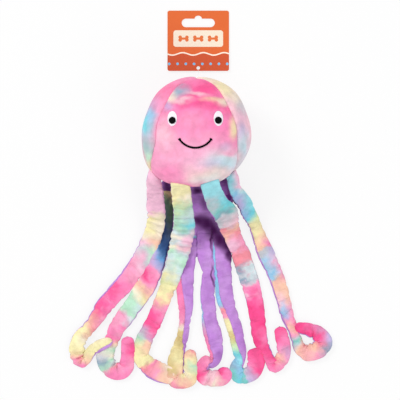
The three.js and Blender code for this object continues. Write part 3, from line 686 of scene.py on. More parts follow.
# a station is [x, y, lift above the floor, width], in mm, then the turn of the seam in degrees and the
# share of the thickness where they aren't 0 and 1
webStations = [
    [2, -34, 36, 46, 180], [1, -48, 26, 70, 180], [0.6, -55.5, 21, 71, 180], [7.5, -57, 20, 60, 180],
    [7, -65, 15.5, 58, 180], [6, -73, 12, 55, 180], [4.5, -81, 5, 50, 180], [5, -88, 1, 47, 180, 0.9],
    [7, -96, 0.2, 45, 180, 0.7], [6.5, -104, 0, 38, 180, 0.55], [1.5, -107, 0, 27, 180, 0.5],
    [1.9, -120, 0, 22.5, 180, 0.45],
]
legStations = {
    "leg_1": [
        [-36, -29, 48, 11], [-40, -43, 46, 12], [-39.4, -55, 38, 15], [-38.8, -71, 25, 17],
        [-38.2, -81, 16, 16.5], [-40.6, -93, 8, 17.3], [-44.6, -105, 1, 18.3, -4],
        [-51.3, -119.2, 0, 17, -8], [-60.3, -133.2, 0, 16.6, -16], [-69.4, -145.4, 0, 16.6, -25],
        [-89, -167.4, 0, 15.2, -15], [-101, -184.8, 0, 11.8, -20], [-108, -192.5, 0, 11.8, -10],
        [-113.5, -200, 0, 13.6], [-115.5, -208, 0, 14.6], [-115, -216, 0, 12.5],
        [-111.8, -221.6, 0, 10], [-107, -219.6, 0, 8.6, -5], [-102.5, -212, 0.5, 9.4, -20],
        [-96.5, -207, 1.5, 10, -45], [-89, -203.4, 4, 9.4, -55, 0.8],
        [-81, -200.2, 6.4, 6.4, -55, 0.55],
    ],
    "leg_2": [
        [-28, -51, 18, 6.6, 20], [-26.7, -66, 10, 8.8, 20], [-26.9, -78, 5, 8.8, 20],
        [-27.6, -90, 1, 8.8, 20], [-29, -100, 0, 9.3, 20], [-31.5, -109, 0, 10.2, 18],
        [-35, -119, 0, 12.2, 15], [-39.5, -130, 0, 14.6, 15], [-45, -141, 0, 16.6, 10],
        [-50, -150, 0, 17.8, 10], [-58.6, -163, 0, 16.6, 10], [-67.6, -176, 0, 16, 10],
        [-76.2, -187.5, 0, 15], [-80.5, -197, 0, 13.5], [-84.3, -205, 0, 13.6], [-88, -214, 0, 16],
        [-86.4, -223.4, 0, 16], [-78, -230.6, 0, 16.2], [-69.2, -227.5, 0, 15.4],
        [-66.8, -218, 0, 12.6], [-66.2, -207, 0.5, 12.4], [-67, -196.5, 1, 11.6],
    ],
    "leg_3": [
        [-13, -30, 64, 14], [-15, -50, 62, 18], [-14, -61, 53, 18], [-13, -71, 41, 18],
        [-12, -82, 28, 19], [-12, -92, 17, 21], [-14, -101.5, legShape["overWeb"] + 3, 21],
        [-16, -112, legShape["overWeb"], 20.5], [-19, -123, legShape["overWeb"], 19], [-25, -142, 1, 16.5],
        [-28.5, -151, 0, 15], [-37, -172, 0, 14.5], [-44, -187.5, 0, 15], [-49, -197, 0, 15.5],
        [-53, -208, 0, 15.5], [-53.8, -216.5, 0, 14], [-50.2, -221, 0, 15.4, -10],
        [-43.2, -227.3, 0.5, 17.8, -20], [-33.9, -231.7, 0.5, 18.2, -20], [-20.5, -236, 0, 14.6],
    ],
    "leg_4": [
        [-3.5, -102, 0.5, 8, 180, 0.35], [-4.4, -112, 0, 10, 178, 0.7], [-6.6, -121, 0, 10.8, 172],
        [-7.8, -127, 0, 11.4, 160], [-9.8, -135, 0, 12.8, 145], [-10.8, -142.5, 0, 14.6, 125],
        [-11.2, -151, 0, 15, 110], [-10.6, -170, 0, 12.8, 95], [-11.2, -179, 0, 10.8, 90],
        [-12.2, -188, 0, 9.8, 90], [-13.6, -197, 0, 10, 90], [-17, -207, 0, 12.4, 40],
        [-19.6, -216.5, 0, 14, 15], [-20.4, -226, 0, 14.6, 15], [-20.9, -237.9, 0, 15.8, 10],
        [-14, -239.6, 1, 14.2], [-7, -236.8, 1, 13.6], [-5.3, -226, 0.5, 12.8], [-6.4, -209, 1, 10],
    ],
    "leg_5": [
        [7, -84, 1, 11, 180, 0.35], [7.2, -92, 0.1, 13.5, 180, 0.55], [7.8, -103, 0, 15, 180, 0.85],
        [8.2, -113, 0, 15.4, 180], [8.8, -121, 0, 14.2, 180], [10.7, -128, 0, 13, 180],
        [11.7, -135, 0, 11.4, 180], [11.6, -144, 0, 12.6, 180], [10.8, -158, 0, 13, 175],
        [12, -173, 0, 12.8, 160], [12.6, -182, 0, 13.8, 140], [15, -193.5, 0, 15.8, 132],
        [17.8, -205, 0, 15.6, 136], [19.2, -214.5, 0, 10.6, 130], [16.3, -221.5, 0, 8.5, 110],
        [9.6, -222, 1, 12.2, 60], [4.8, -228.4, 1, 13.4, 20], [8, -235.2, 0, 15], [17, -237, 0, 15],
        [25.4, -235.8, 0, 15.2], [30, -226.8, 0.8, 13.4],
    ],
    "leg_6": [
        [20.6, -84, 1, 10.5, 176, 0.35], [21.6, -92, 0.1, 13.6, 172, 0.55],
        [22.6, -100, 0, 15.4, 162, 0.8], [23.8, -108, 0, 16.6, 150], [24.4, -117, 0, 17.2, 145],
        [24.8, -129, 0, 16.6, 138], [25.6, -144, 0, 15.4, 132], [27.4, -159, 0, 14.8, 128],
        [30.8, -170, 0, 14, 122], [34.8, -182, 0, 13, 112], [37.5, -191.5, 0, 13.6, 110],
        [39.5, -202, 0, 12.7, 105], [41.4, -211.5, 0, 12, 90], [41.5, -219, 0, 9.5, 50],
        [38.6, -227, 0.8, 13, 10], [40.8, -234.4, 0, 14.4], [48.5, -234, 0, 14.3],
        [55.3, -229, 0, 15.4], [57.6, -220, 0, 16.4], [56.6, -207.5, 0.5, 16],
    ],
    "leg_7": [
        [10, -30, 65, 14], [13, -51, 63, 18], [16.5, -61, 54, 18.6], [21.8, -71, 41, 20.2],
        [27.8, -78.4, 29, 23.2], [30.6, -87, 18, 19.8], [33.3, -96, 9, 16.8], [37.6, -105.5, 5, 16.2],
        [42.6, -117, 2, 16.8], [46.6, -130, 0, 17.6], [55.5, -159, 0, 15.8], [58.4, -177, 0, 14.6],
        [60.4, -193, 0, 14], [63.2, -204, 0, 12.2, 10], [67.6, -212, 0.8, 8, 20],
        [70.8, -219, 0.8, 9.4, 15], [75, -224.8, 0, 14], [83.5, -215.6, 0, 12.2], [84.2, -206, 0, 12.8],
        [82.2, -198, 0.5, 12.6], [79.8, -187, 1, 11.8],
    ],
    "leg_8": [
        [27, -29, 50, 11], [33.2, -43, 47, 11, -10], [36, -54, 40, 11, -15], [40, -61, 33, 13, -15],
        [45.8, -69, 25, 13.2, -15], [49, -76.5, 17, 12.8, -15], [54.8, -86, 8, 11.6, -15],
        [58.4, -95, 3, 11.6, -20], [62.8, -107.5, 0, 13, -20], [67.6, -118, 0, 15.2, -20],
        [78.2, -143, 0, 13.2, -20], [82.8, -157, 0, 12.8, -20], [87, -174, 0, 11.8, -25],
        [90.5, -184, 0, 10, -30], [94, -192.5, 0, 8.8, -30], [97, -201, 0, 9.4, -20],
        [100.3, -208.6, 0, 11.8, -10], [107, -212, 1, 16], [116.6, -209.6, 1, 17, 10],
        [122.4, -202, 0, 16.4, 20], [116, -193.6, 0, 14, 20], [94.5, -186.6, 2, 9, 20],
    ],
}
# creases across a leg: (station, depth mm, half width mm, slant)
creases = {
    "leg_1": [
        (3.6, 1.0, 1.3, 0.3), (4.15, 1.5, 1.6, 0.15), (5.1, 1.2, 1.5, 0.4), (10.3, 0.8, 2.0, -0.3),
        (12.0, 1.2, 1.5, 0.5), (14.6, 1.3, 1.2, 0.0), (15.3, 1.6, 1.0, 0.0), (15.9, 1.6, 1.0, 0.0),
    ],
    "leg_2": [
        (7, 0.7, 1.6, 0.2), (10.6, 0.7, 1.8, -0.2), (13.1, 1.2, 1.3, 0.2), (16.4, 1.0, 1.4, 0.1),
        (18.2, 0.9, 1.4, 0.3),
    ],
    "leg_3": [
        (4.0, 1.0, 1.5, 0.2), (5.2, 1.2, 1.6, -0.5), (6.3, 1.6, 1.3, 0.1), (6.8, 1.6, 1.2, -0.1),
        (7.3, 1.3, 1.3, 0.1), (9.9, 1.1, 1.3, 0.1), (12.2, 1.3, 1.6, -0.4), (12.8, 1.0, 1.2, 0.2),
        (16.4, 1.6, 1.3, 0.2),
    ],
    "leg_4": [
        (8.5, 1.0, 1.4, 0.2), (10.3, 1.4, 1.4, 0.3), (11, 1.2, 1.3, 0.0), (14, 1.2, 1.3, 0.1),
        (16.4, 1.0, 1.2, 0.2),
    ],
    "leg_5": [
        (6, 0.8, 1.8, 0.2), (9.2, 0.8, 1.8, 0.3), (12, 1.2, 1.3, 0.1), (14.5, 1.2, 1.2, 0.1),
        (17.6, 1.5, 1.2, 0.2),
    ],
    "leg_6": [
        (5.4, 0.7, 1.8, 0.2), (8.1, 0.9, 1.6, 0.3), (10.4, 0.8, 1.6, -0.2), (13.4, 1.3, 1.2, 0.2),
        (15.5, 1.3, 1.2, 0.1),
    ],
    "leg_7": [
        (4.6, 1.4, 1.4, 0.1), (5.2, 1.5, 1.3, -0.3), (6.4, 0.9, 1.5, 0.2), (7.6, 0.8, 1.5, -0.2),
        (8.7, 0.8, 1.5, 0.1), (11.4, 0.8, 1.8, 0.4), (13.6, 1.2, 1.4, 0.2), (15.6, 1.2, 1.2, 0.1),
        (16.6, 1.0, 1.2, 0.1),
    ],
    "leg_8": [
        (6.0, 0.8, 1.6, 0.3), (9.6, 0.8, 1.6, 0.2), (11.4, 0.8, 1.6, -0.2), (15.0, 1.2, 1.3, 0.1),
        (16.6, 1.2, 1.3, 0.2), (18.6, 1.2, 1.3, 0.3), (20.2, 1.0, 1.3, -0.3),
    ],
}


def splinePoint(control, place):  # centripetal spline, place counts in stations
    first = np.minimum(place.astype(int), len(control) - 2)
    w = (place - first)[:, None]
    padded = np.concatenate([[2 * control[0] - control[1]], control, [2 * control[-1] - control[-2]]])
    p0, p1, p2, p3 = (padded[first + k] for k in range(4))
    pairs = (p0, p1), (p1, p2), (p2, p3)
    d0, d1, d2 = (np.linalg.norm(b - a, axis=1)[:, None] ** 0.5 for a, b in pairs)
    t1 = ((p1 - p0) / d0 - (p2 - p0) / (d0 + d1) + (p2 - p1) / d1) * d1
    t2 = ((p2 - p1) / d1 - (p3 - p1) / (d1 + d2) + (p3 - p2) / d2) * d1
    return p1 + t1 * w + (3 * (p2 - p1) - 2 * t1 - t2) * w**2 + (2 * (p1 - p2) + t1 + t2) * w**3


def wrinklesOf(line, run, seed):
    # small folds from one edge across: (place, side, depth, half width, slant), deeper inside a bend
    maker = random.Random(seed)
    total = run[-1]
    tangent = unit(np.gradient(line, axis=0))
    found, at = [], 12 * mm
    while at < total - 7 * mm:
        behind, ahead = np.searchsorted(run, [at - 4 * mm, min(at + 4 * mm, total)])
        turn = np.cross(tangent[behind], tangent[min(ahead, len(tangent) - 1)])[2]
        isBent = abs(turn) > legShape["bend"]
        side = (1 if turn > 0 else -1) if isBent else maker.choice((-1, 1))
        depth = legShape["wrinkle"] * maker.uniform(0.4, 1.0)
        depth += legShape["bendPleat"] * min(1, abs(turn) / 0.8)
        found.append((at, side, depth, maker.uniform(1.0, 1.9) * mm, maker.uniform(-3.5, 3.5) * mm))
        at += (maker.uniform(5.5, 9) if isBent else maker.uniform(6, 12)) * mm
    return found


def limbGrid(stations, seed, folds, leavesHead, isSkirt):
    # rings of skin points; each line along the limb starts where it leaves the head
    thickness = legShape["webThickness" if isSkirt else "thickness"]
    table = np.array([row + [0, 1][len(row) - 4:] for row in stations], dtype=float)
    if not isSkirt:
        table[:, 3] += legShape["plump"] / mm
    height = legShape["floor"] / mm + table[:, 2] + table[:, 5] * thickness / mm / 2
    control = np.stack([table[:, 0], table[:, 1], height], axis=1) * mm
    last = len(stations) - 1
    fine = np.linspace(0, last, 4000)
    line = splinePoint(control, fine)
    run = runAlong(line)
    total = run[-1]
    wrinkles = [] if isSkirt else wrinklesOf(line, run, seed)
    columns = legShape["columns"]

    def skin(place, angleShare):
        def value(column):
            return np.interp(place, np.arange(last + 1), table[:, column])

        step = 1e-3
        centre = splinePoint(control, place)
        tangent = splinePoint(control, np.minimum(place + step, last))
        tangent -= splinePoint(control, np.maximum(place - step, 0))
        s = np.interp(place, fine, run)
        left = np.clip((total - s) / legShape["tip"], 0, 1)
        rounding = np.sqrt(np.clip(1 - (1 - left) ** 2, 0.0009, 1))
        if isSkirt:
            tangent[:, 0] = 0
            centre[:, 0] = value(0) * mm
            rounding = np.ones_like(rounding)
        tangent = unit(tangent)
        up = unit(np.array([0, 0, 1.0]) - tangent * tangent[:, 2:3])
        side = np.cross(up, tangent)
        turn = np.radians(value(4))
        angle = turn + 2 * math.pi * angleShare
        x = value(3) * mm / 2 * np.cos(angle) * rounding
        z = thickness * value(5) / 2 * np.sin(angle) * rounding
        return centre + side * x[:, None] + up * z[:, None], centre, side, up, x, angle, turn

    starts = np.zeros(columns)
    if leavesHead:
        probe = np.linspace(0, min(last, 3), 400)
        for k in range(columns):
            inside = np.nonzero(aboveSkin(skin(probe, k / columns)[0]) <= legShape["clearance"])[0]
            if len(inside) and inside[-1] + 1 < len(probe):
                starts[k] = probe[inside[-1] + 1]
    startRun = np.interp(starts, fine, run)
    rows = int((total - startRun.min()) / legShape["ringStep"])
    share = np.linspace(0, 1, rows)
    points, centres = np.zeros((rows, columns, 3)), np.zeros((rows, columns, 3))
    places = np.zeros((rows, columns))
    for k in range(columns):
        s = startRun[k] + (total - startRun[k]) * share
        place = np.interp(s, run, fine)
        here, centre, side, up, x, angle, turn = skin(place, k / columns)
        sideways = side * (x / np.maximum(1e-9, np.abs(x).max()))[:, None]
        outward = unit(sideways * 0.35 + up * np.sin(angle)[:, None])
        push = np.zeros(rows)
        across = np.cos(angle)
        fade = np.clip(np.abs(np.sin(angle)) * 2.0, 0, 1)
        for station, depth, half, slant in folds:
            away = (s - np.interp(station, fine, run)) / mm - slant * across * 6
            push -= depth * mm * bell(away, half) * (0.35 + 0.65 * fade)
            push += 0.45 * depth * mm * bell(np.abs(away) - 2.2 * half, 1.4 * half) * fade
        for at, sideSign, depth, half, slant in wrinkles:
            away = s - at - slant * across
            near = depth * np.clip(0.45 + 0.75 * sideSign * across, 0, 1) ** 1.4
            push += near * (0.4 * bell(np.abs(away) - 2.1 * half, 1.3 * half) - bell(away, half))
        push += noiseAt(here, 75.0, seed) * legShape["ripple"]
        push += noiseAt(here, 190.0, seed + 1) * legShape["fineRipple"]
        push *= np.clip((s - startRun[k]) / (6 * mm), 0, 1)
        groove = legShape["groove"] * bell(np.sin(angle - turn), 0.16)
        radial = unit(here - centre)
        way = outward * (1 - 0.5 * np.abs(across))[:, None] + radial * 0.5
        points[:, k] = here + way * push[:, None] - radial * groove[:, None]
        centres[:, k] = centre
        places[:, k] = place
    return points, centres, places, last


def limbPieces(name, stations, seed, folds, leavesHead, isSkirt=False):
    points, centres, places, last = limbGrid(stations, seed, folds, leavesHead, isSkirt)
    rows, columns = places.shape
    flat = points.reshape(-1, 3)
    seams = [r * columns + k for r in range(rows) for k in (0, columns // 2)]
    ends = [r * columns + k for r in (0, 1, rows - 2, rows - 1) for k in range(columns)]
    flat = clothShape(flat, skinFaces(rows, columns, True), sorted(set(seams + ends)), legShape)
    flat[:, 2] = np.maximum(flat[:, 2], legShape["floor"])
    points = flat.reshape(rows, columns, 3)
    inner = points + (centres - points) * legShape["plyShare"]
    half = columns // 2
    made = []
    for part, picks in (("Outer", range(0, half + 1)), ("Lining", range(half, columns + 1))):
        index = [k % columns for k in picks]
        skin, lining = points[:, index].reshape(-1, 3), inner[:, index].reshape(-1, 3)
        across = np.tile(np.linspace(0, 1, half + 1), rows)
        along = np.stack([places[:, index].ravel() / last, across], axis=1)
        distance = np.repeat(np.arange(rows) * legShape["ringStep"] / mm, half + 1)
        run = np.stack([distance + 37 * seed, across], axis=1)
        maps = np.concatenate([along, along]), np.concatenate([run, run])
        faces = shellFaces(rows, half + 1, False)
        ply = meshObject(name + part, np.concatenate([skin, lining]), faces, *maps)
        made.append(weld(ply, 0.01 * mm))
    return made


legDyes = {
    "leg_1":
        "0 petal, 3.4 petal, 3.8 butter cream, 5 butter cream, 5.7 cream peach, 6.2 petal peach, "
        "6.8 silver mint, 7.3 petal silver, 7.8 rose petal, 8.5 rose, 9 pink, 9.4 deepPink pink, "
        "9.8 pink, 10.1 deepPink pink, 10.5 salmon rose, 11.2 peach salmon, 11.8 butter peach, "
        "12.6 butter cream, 14.2 butter, 14.8 peach butter, 15.4 rose salmon, 16.4 pink peach, "
        "17.2 peach butter, 18.2 butter, 20.5 butter cream, 21 butter",
    # leg 2's root, under the head, runs through moss, storm and navy: green and blue dye darkened with
    # painted shade
    "leg_2":
        "0 sand, 0.5 moss sand, 1.1 moss, 2.2 storm moss, 3.4 navy storm, 4.6 navy, 5.3 blue navy, "
        "6.1 lavender blue, 6.9 mauve lavender, 7.4 pink rose, 7.9 hotPink pink, 8.5 rose, 9.1 peach, "
        "9.6 cream butter, 10.1 mint frost, 10.8 mint, 11.3 rose frost, 11.8 rose pink, "
        "12.6 pink rose, 13.2 pink, 13.8 mauve peach, 14.4 cream mint, 15.2 silver cream, "
        "15.8 slate mint, 16.4 mint silver, 16.8 pink salmon, 17.6 pink rose, 18.6 rose pink, "
        "19.8 deepPink pink, 21 pink",
    "leg_3":
        "0 cream butter, 1.6 butter, 2.3 butter cream, 2.9 lime mint, 3.6 mint frost, 4.8 mint aqua, "
        "5.4 frost silver, 6 cream petal, 6.5 frost petal, 6.9 cream blush, 7.4 mint frost, "
        "8.1 frost mint, 8.6 butter frost, 9.5 lime butter, 10.1 butter, 10.4 peach, 10.8 pink rose, "
        "11.2 deepPink pink, 11.8 deepPink, 12.3 mauve pink, 12.9 silver mauve, 13.3 mint peach, "
        "13.8 butter peach, 15 butter, 16.2 butter, 16.7 salmon pink, 17.5 rose peach, "
        "18.3 peach cream, 19 cream peach",
    "leg_4":
        "0 deepPink, 7 deepPink pink, 8.2 pink rose, 9 silver cream, 9.6 cream sand, 11 butter sand, "
        "12.2 sand butter, 13.3 sand peach, 14.3 pink peach, 15.2 salmon butter, 16.4 butter cream, "
        "17.2 mint butter, 17.6 butter peach, 18 salmon peach",
    "leg_5":
        "0 lilac, 7 lilac, 9 silver sky, 11.5 rose pink, 13.5 pink, 14.6 salmon rose, 15.6 pink, "
        "16.6 hotPink pink, 17.2 rose blush, 18.2 cream blush, 19 pink deepPink",
    # leg 6's grape root is painted shade, where leg 7's shadow crosses the skirt
    "leg_6":
        "0 grape, 2.6 grape, 3.4 sky, 7.4 sky, 7.9 rose salmon, 8.6 peach rose, 9 cream butter, "
        "9.8 butter, 10.3 sand, 11 mint lime, 11.7 aqua mint, 12.3 aqua, 12.9 sky ice, 14 slate sky, "
        "14.6 teal sky, 15.4 aqua sky, 15.75 teal, 15.9 lavender silver, 16.6 mauve, "
        "17.2 deepPink pink, 19 deepPink",
    "leg_7":
        "0 ice, 1.9 ice, 2.4 silver ice, 3.2 teal aqua, 3.7 slate teal, 4.1 silver, 4.9 silver blush, "
        "5.4 salmon peach, 6.2 peach salmon, 6.7 petal rose, 7.5 petal rose, 7.9 salmon, 8.5 salmon, "
        "8.8 slate salmon, 9.05 silver frost, 9.3 slate silver, 9.5 petal silver, 9.7 pink rose, "
        "10 deepPink pink, 10.6 hotPink deepPink, 11.6 deepPink hotPink, 12.6 hotPink pink, "
        "13.6 deepPink, 15.2 pink deepPink, 16 pink hotPink, 16.8 rose peach, 17.4 mauve rose, "
        "18 pink, 19 pink deepPink, 20 deepPink",
    "leg_8":
        "0 ice petal, 1.6 ice petal, 2.1 ice petal, 2.7 sky frost, 3.6 lavender ice, 5 sky aqua, "
        "5.5 aqua lime, 6.2 butter, 7.2 butter peach, 7.8 peach rose, 8.4 peach pink, "
        "8.7 silver lavender, 9.1 silver lavender, 9.5 sky petal, 9.75 silver pink, 9.95 peach rose, "
        "10.5 peach, 11.2 blush peach, 11.8 sky rose, 12.5 lavender rose, 12.9 rose pink, "
        "13.6 peach salmon, 14.1 rose peach, 14.5 silver, 14.9 teal mint, 15.4 silver peach, "
        "16 peach salmon, 17.8 rose peach, 18.4 slate salmon, 19 lavender pink, 19.6 mauve deepPink, "
        "20.6 deepPink hotPink",
}
# the grape bands are painted shade where the skirt lies under the head and the front legs
webDyes = "0 lilac aqua, 3 grape lavender, 7 grape mint, 9 lilac sky, 11 lavender rose"

webCreases = [(3.7, 0.6, 2.5, 0.0)]
webOuter, webLining = limbPieces("backWeb", webStations, 11, webCreases, leavesHead=True, isSkirt=True)
dress(webOuter, bandPaint("webPlush", len(webStations) - 1, webDyes))
dress(webLining, lilacPlush)
for piece, node in ((webOuter, "back_web_outer"), (webLining, "back_web_lining")):
    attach(piece, "head")
    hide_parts(node)
print("stage: skirt")

rootBend = {  # hinge in mm, the way the root runs, and where the bend starts and ends along it
    "leg_1": ((-40, -45, 52.5), (-0.1, -0.97, -0.25), -1, 9),
    "leg_2": ((-27.5, -57.7, 20.8), (0, -0.9, -0.42), -1, 8),
    "leg_3": ((-15, -44.5, 70), (0, -0.98, -0.2), -1, 9),
    "leg_4": ((-4, -120.7, 6.8), (0, -1, 0), -4, 6),
    "leg_5": ((6.8, -120.7, 6.8), (0, -1, 0), -4, 6),
    "leg_6": ((20.4, -105.7, 6.8), (0, -1, 0), -4, 6),
    "leg_7": ((13, -44.5, 71), (0, -0.98, -0.2), -1, 9),
    "leg_8": ((34, -45, 53.5), (0.1, -0.97, -0.25), -1, 9),
}
for number, (name, stations) in enumerate(legStations.items()):
    leavesHead = name in ("leg_1", "leg_3", "leg_7", "leg_8")
    stem = name.replace("_", "")
    outer, lining = limbPieces(stem, stations, 20 + 2 * number, creases[name], leavesHead)
    dress(outer, bandPaint(stem + "Plush", len(stations) - 1, legDyes[name]))
    dress(lining, lilacPlush)
    hinge, way, first, final = rootBend[name]
    hinge, way = Vector(hinge) * mm, Vector(way)
    for piece, node in ((outer, name + "_outer"), (lining, name + "_lining")):
        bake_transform(piece)
        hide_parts(node)
    print("stage:", name)

face = {  # eyes and smile
    "shift": -1 * mm,
    "eyeSpacing": 42.5 * mm,
    "eyeHeight": 10 * mm,
    "eyeWidth": 8.8 * mm,
    "eyeLength": 14 * mm,
    "pupil": 6.5 * mm,
    "pupilDrop": 1.7 * mm,
    "smileRadius": 17.5 * mm,
    "smileHalfAngle": 56,
    "smileDrop": 17 * mm,
    "smileWidth": 1.9 * mm,
    "smileRise": 0.55 * mm,
    "smileRib": 0.45 * mm,  # half a stitch
    "tick": 2.6 * mm,  # the short stitch across each end of the smile
}
faceCorners = [v.co.copy() for v in facePanel.data.vertices]
faceTree = BVHTree.FromPolygons(faceCorners, [tuple(p.vertices) for p in facePanel.data.polygons])


def faceHeight(x, y):
    return faceTree.ray_cast(Vector((x, y, 0.2)), Vector((0, 0, -1)))[0].z


def patch(name, x, y, width, length, low, rise):
    rows, columns = 14, 64
    share = np.linspace(0, 1, rows)
    angle = circle(columns)
    px = (x + width / 2 * share[:, None] * np.cos(angle)[None, :]).ravel()
    py = (y + length / 2 * share[:, None] * np.sin(angle)[None, :]).ravel()
    base = np.array([faceHeight(a, b) for a, b in zip(px, py)])
    dome = np.repeat(1 - share**3.2, columns)
    top = np.stack([px, py, base + low + rise * (0.45 + 0.55 * dome)], axis=1)
    bottom = np.stack([px, py, base - 0.15 * mm], axis=1)
    return weld(meshObject(name, np.concatenate([top, bottom]), shellFaces(rows, columns, True)))


def stitched(name, light, dark, threads, angle, roughness, gloss):
    paint = Paint(name)
    place = paint.rest()
    values = {"Vector": place, "Angle": angle}
    turned = paint.make("ShaderNodeVectorRotate", {"rotation_type": "Z_AXIS"}, values)
    values = {"Vector": turned, "Scale": threads, "Distortion": 1.5, "Detail": 1.0}
    strand = paint.make("ShaderNodeTexWave", {"bands_direction": "X"}, values, 1)
    tone = strand * 0.7 + paint.noise(place, 400.0) * 0.3
    return paint.finish({
        "Base Color": paint.mix(tone, linear(dark), linear(light)),
        "Roughness": roughness,
        "Specular IOR Level": gloss,
        "Normal": paint.bump(0.6, 0.15 * mm, strand),
    })


whiteStitching = stitched("whiteStitching", (255, 252, 255), (236, 228, 240), 350.0, 0.5, 0.75, 0.2)
blackStitching = stitched("blackStitching", (14, 13, 16), (2, 2, 3), 350.0, 1.1, 0.8, 0.06)
for side, word in ((-1, "Left"), (1, "Right")):
    x = face["shift"] + side * face["eyeSpacing"] / 2
    y = face["eyeHeight"]
    white = patch("eyeWhite" + word, x, y, face["eyeWidth"], face["eyeLength"], 0.1 * mm, 0.9 * mm)
    y -= face["pupilDrop"]
    pupil = patch("pupil" + word, x, y, face["pupil"], face["pupil"], 1.1 * mm, 0.9 * mm)
    dress(white, whiteStitching)
    dress(pupil, blackStitching)
    for piece, node in ((white, "eye_white_"), (pupil, "pupil_")):
        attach(piece, "head")
        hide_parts(node + word.lower())


def smileLine():
    centreY = face["smileRadius"] - face["smileDrop"]
    bottom = math.radians(270)  # the smile's lowest point, as an angle about its centre
    spread = math.radians(face["smileHalfAngle"])
    paths = [[(face["smileRadius"], a) for a in np.linspace(bottom - spread, bottom + spread, 90)]]
    near, far = face["smileRadius"] - face["tick"] / 2, face["smileRadius"] + face["tick"] / 2
    for end in (bottom - spread, bottom + spread):
        paths.append([(radius, end) for radius in np.linspace(near, far, 14)])
    points, faces = [], []
    sides = 10
    for path in paths:
        line = []
        for radius, angle in path:
            x = face["shift"] + radius * math.cos(angle)
            y = centreY + radius * math.sin(angle)
            line.append((x, y, faceHeight(x, y) + 0.35 * mm))
        line = np.array(line)
        run = runAlong(line)
        tangent = unit(np.gradient(line, axis=0))
        side = unit(np.cross(tangent, [0, 0, 1.0]))
        base = len(points)
        for i, (p, s) in enumerate(zip(line, side)):
            endCap = min(run[i], run[-1] - run[i]) / (0.5 * mm)
            size = math.sqrt(max(0.02, 1 - (1 - min(1, endCap)) ** 2))
            size *= 1 + 0.06 * math.sin(run[i] / face["smileRib"] * math.pi)
            for a in circle(sides):
                rise = np.array([0, 0, face["smileRise"]]) * math.sin(a)
                points.append(p + (s * math.cos(a) * face["smileWidth"] / 2 + rise) * size)
        for i in range(len(line) - 1):
            for k in range(sides):
                a, b = base + i * sides + k, base + i * sides + (k + 1) % sides
                faces.append((a, b, b + sides, a + sides))
        faces.append(tuple(base + k for k in reversed(range(sides))))
        faces.append(tuple(base + (len(line) - 1) * sides + k for k in range(sides)))
    return weld(meshObject("smileStitch", np.array(points), faces))


smile = dress(smileLine(), blackStitching)
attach(smile, "head")
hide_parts("smile_stitch")
print("stage: face")


def nodeObject(name):
    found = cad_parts[name]
    return bpy.data.objects[found] if isinstance(found, str) else found


fibre = {  # the polyester filling
    "voxel": 3 * mm,
    "hollows": 1.2 * mm,
    "scale": 500.0,
    "sheen": 0.3,
}
fibrePaint = Paint("fibreFill")
fibreNoise = fibrePaint.noise(fibrePaint.rest(), fibre["scale"], 4.0, 0.7)
fibreFill = fibrePaint.finish({
    "Base Color": fibrePaint.mix(fibreNoise, linear((225, 225, 220)), linear((250, 250, 248))),
    "Roughness": 1.0,
    "Sheen Weight": fibre["sheen"],
    "Normal": fibrePaint.bump(0.8, 1 * mm, fibreNoise),
})
for node, pieceName in (("fibre_fill_front", "fibreFillFront"), ("fibre_fill_back", "fibreFillBack")):
    copy = added(pieceName, nodeObject(node).data.copy())
    remesh = copy.modifiers.new("remesh", "REMESH")
    remesh.mode = "VOXEL"
    remesh.voxel_size = fibre["voxel"]
    shaped = copy.evaluated_get(bpy.context.evaluated_depsgraph_get()).data
    points = np.array([v.co for v in shaped.vertices])
    normals = np.array([v.normal for v in shaped.vertices])
    faces = [tuple(p.vertices) for p in shaped.polygons]
    bpy.data.objects.remove(copy)
    lumps = noiseAt(points, 120.0, 31) * 0.5 + 0.5
    points = points - normals * (lumps * fibre["hollows"])[:, None]
    wad = dress(meshObject(pieceName, points, faces), fibreFill)
    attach(wad, "head")
    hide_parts(node)


def moulded(name, light, dark, roughness):
    paint = Paint(name)
    place = paint.within()
    grain = paint.noise(place, 900.0, 3.0, 0.6)
    return paint.finish({
        "Base Color": paint.mix(paint.noise(place, 60.0), linear(dark), linear(light)),
        "Roughness": paint.remap(grain, 0.3, 0.7, roughness - 0.06, roughness + 0.06),
        "Normal": paint.bump(0.2, 0.1 * mm, grain),
    })


squeakerPlastic = moulded("squeakerPlastic", (240, 240, 234), (228, 228, 220), 0.45)
reedPlastic = moulded("reedPlastic", (215, 214, 210), (200, 200, 196), 0.35)


def paintNode(name, material):
    obj = nodeObject(name)
    if not obj.material_slots:
        obj.data.materials.append(material)
    for slot in obj.material_slots:
        slot.link = "OBJECT"
        slot.material = material


paintNode("squeaker_bladder", squeakerPlastic)
paintNode("squeaker_reed", reedPlastic)

card = {  # its print: a wavy line, bones on a panel, and dots
    "middle": (1.6 * mm, 88.5 * mm),
    "wavePitch": 20 * mm,
    "waveHeight": 1.2 * mm,
    "waveLine": -13 * mm,
    "waveEdge": 1.3 * mm,
    "panelHalf": (24 * mm, 8 * mm),
    "panelCorner": 2.5 * mm,
    "bones": 3,
    "bonePitch": 14.2 * mm,
    "boneLine": 2.5 * mm,
    "boneHalf": 3.3 * mm,
    "shank": 1.1 * mm,
    "knuckle": 1.7 * mm,
    "knuckleRise": 1.3 * mm,
    "dotPitch": 8 * mm,
    "dotLine": -22 * mm,
    "dot": 1.3 * mm,
    "orange": (222, 102, 34),
    "deepOrange": (216, 94, 28),
    "lowOrange": (200, 76, 24),
    "edge": (252, 240, 222),
    "cream": (240, 226, 205),
    "bone": (222, 108, 44),
    "dotBlue": (120, 190, 228),
}


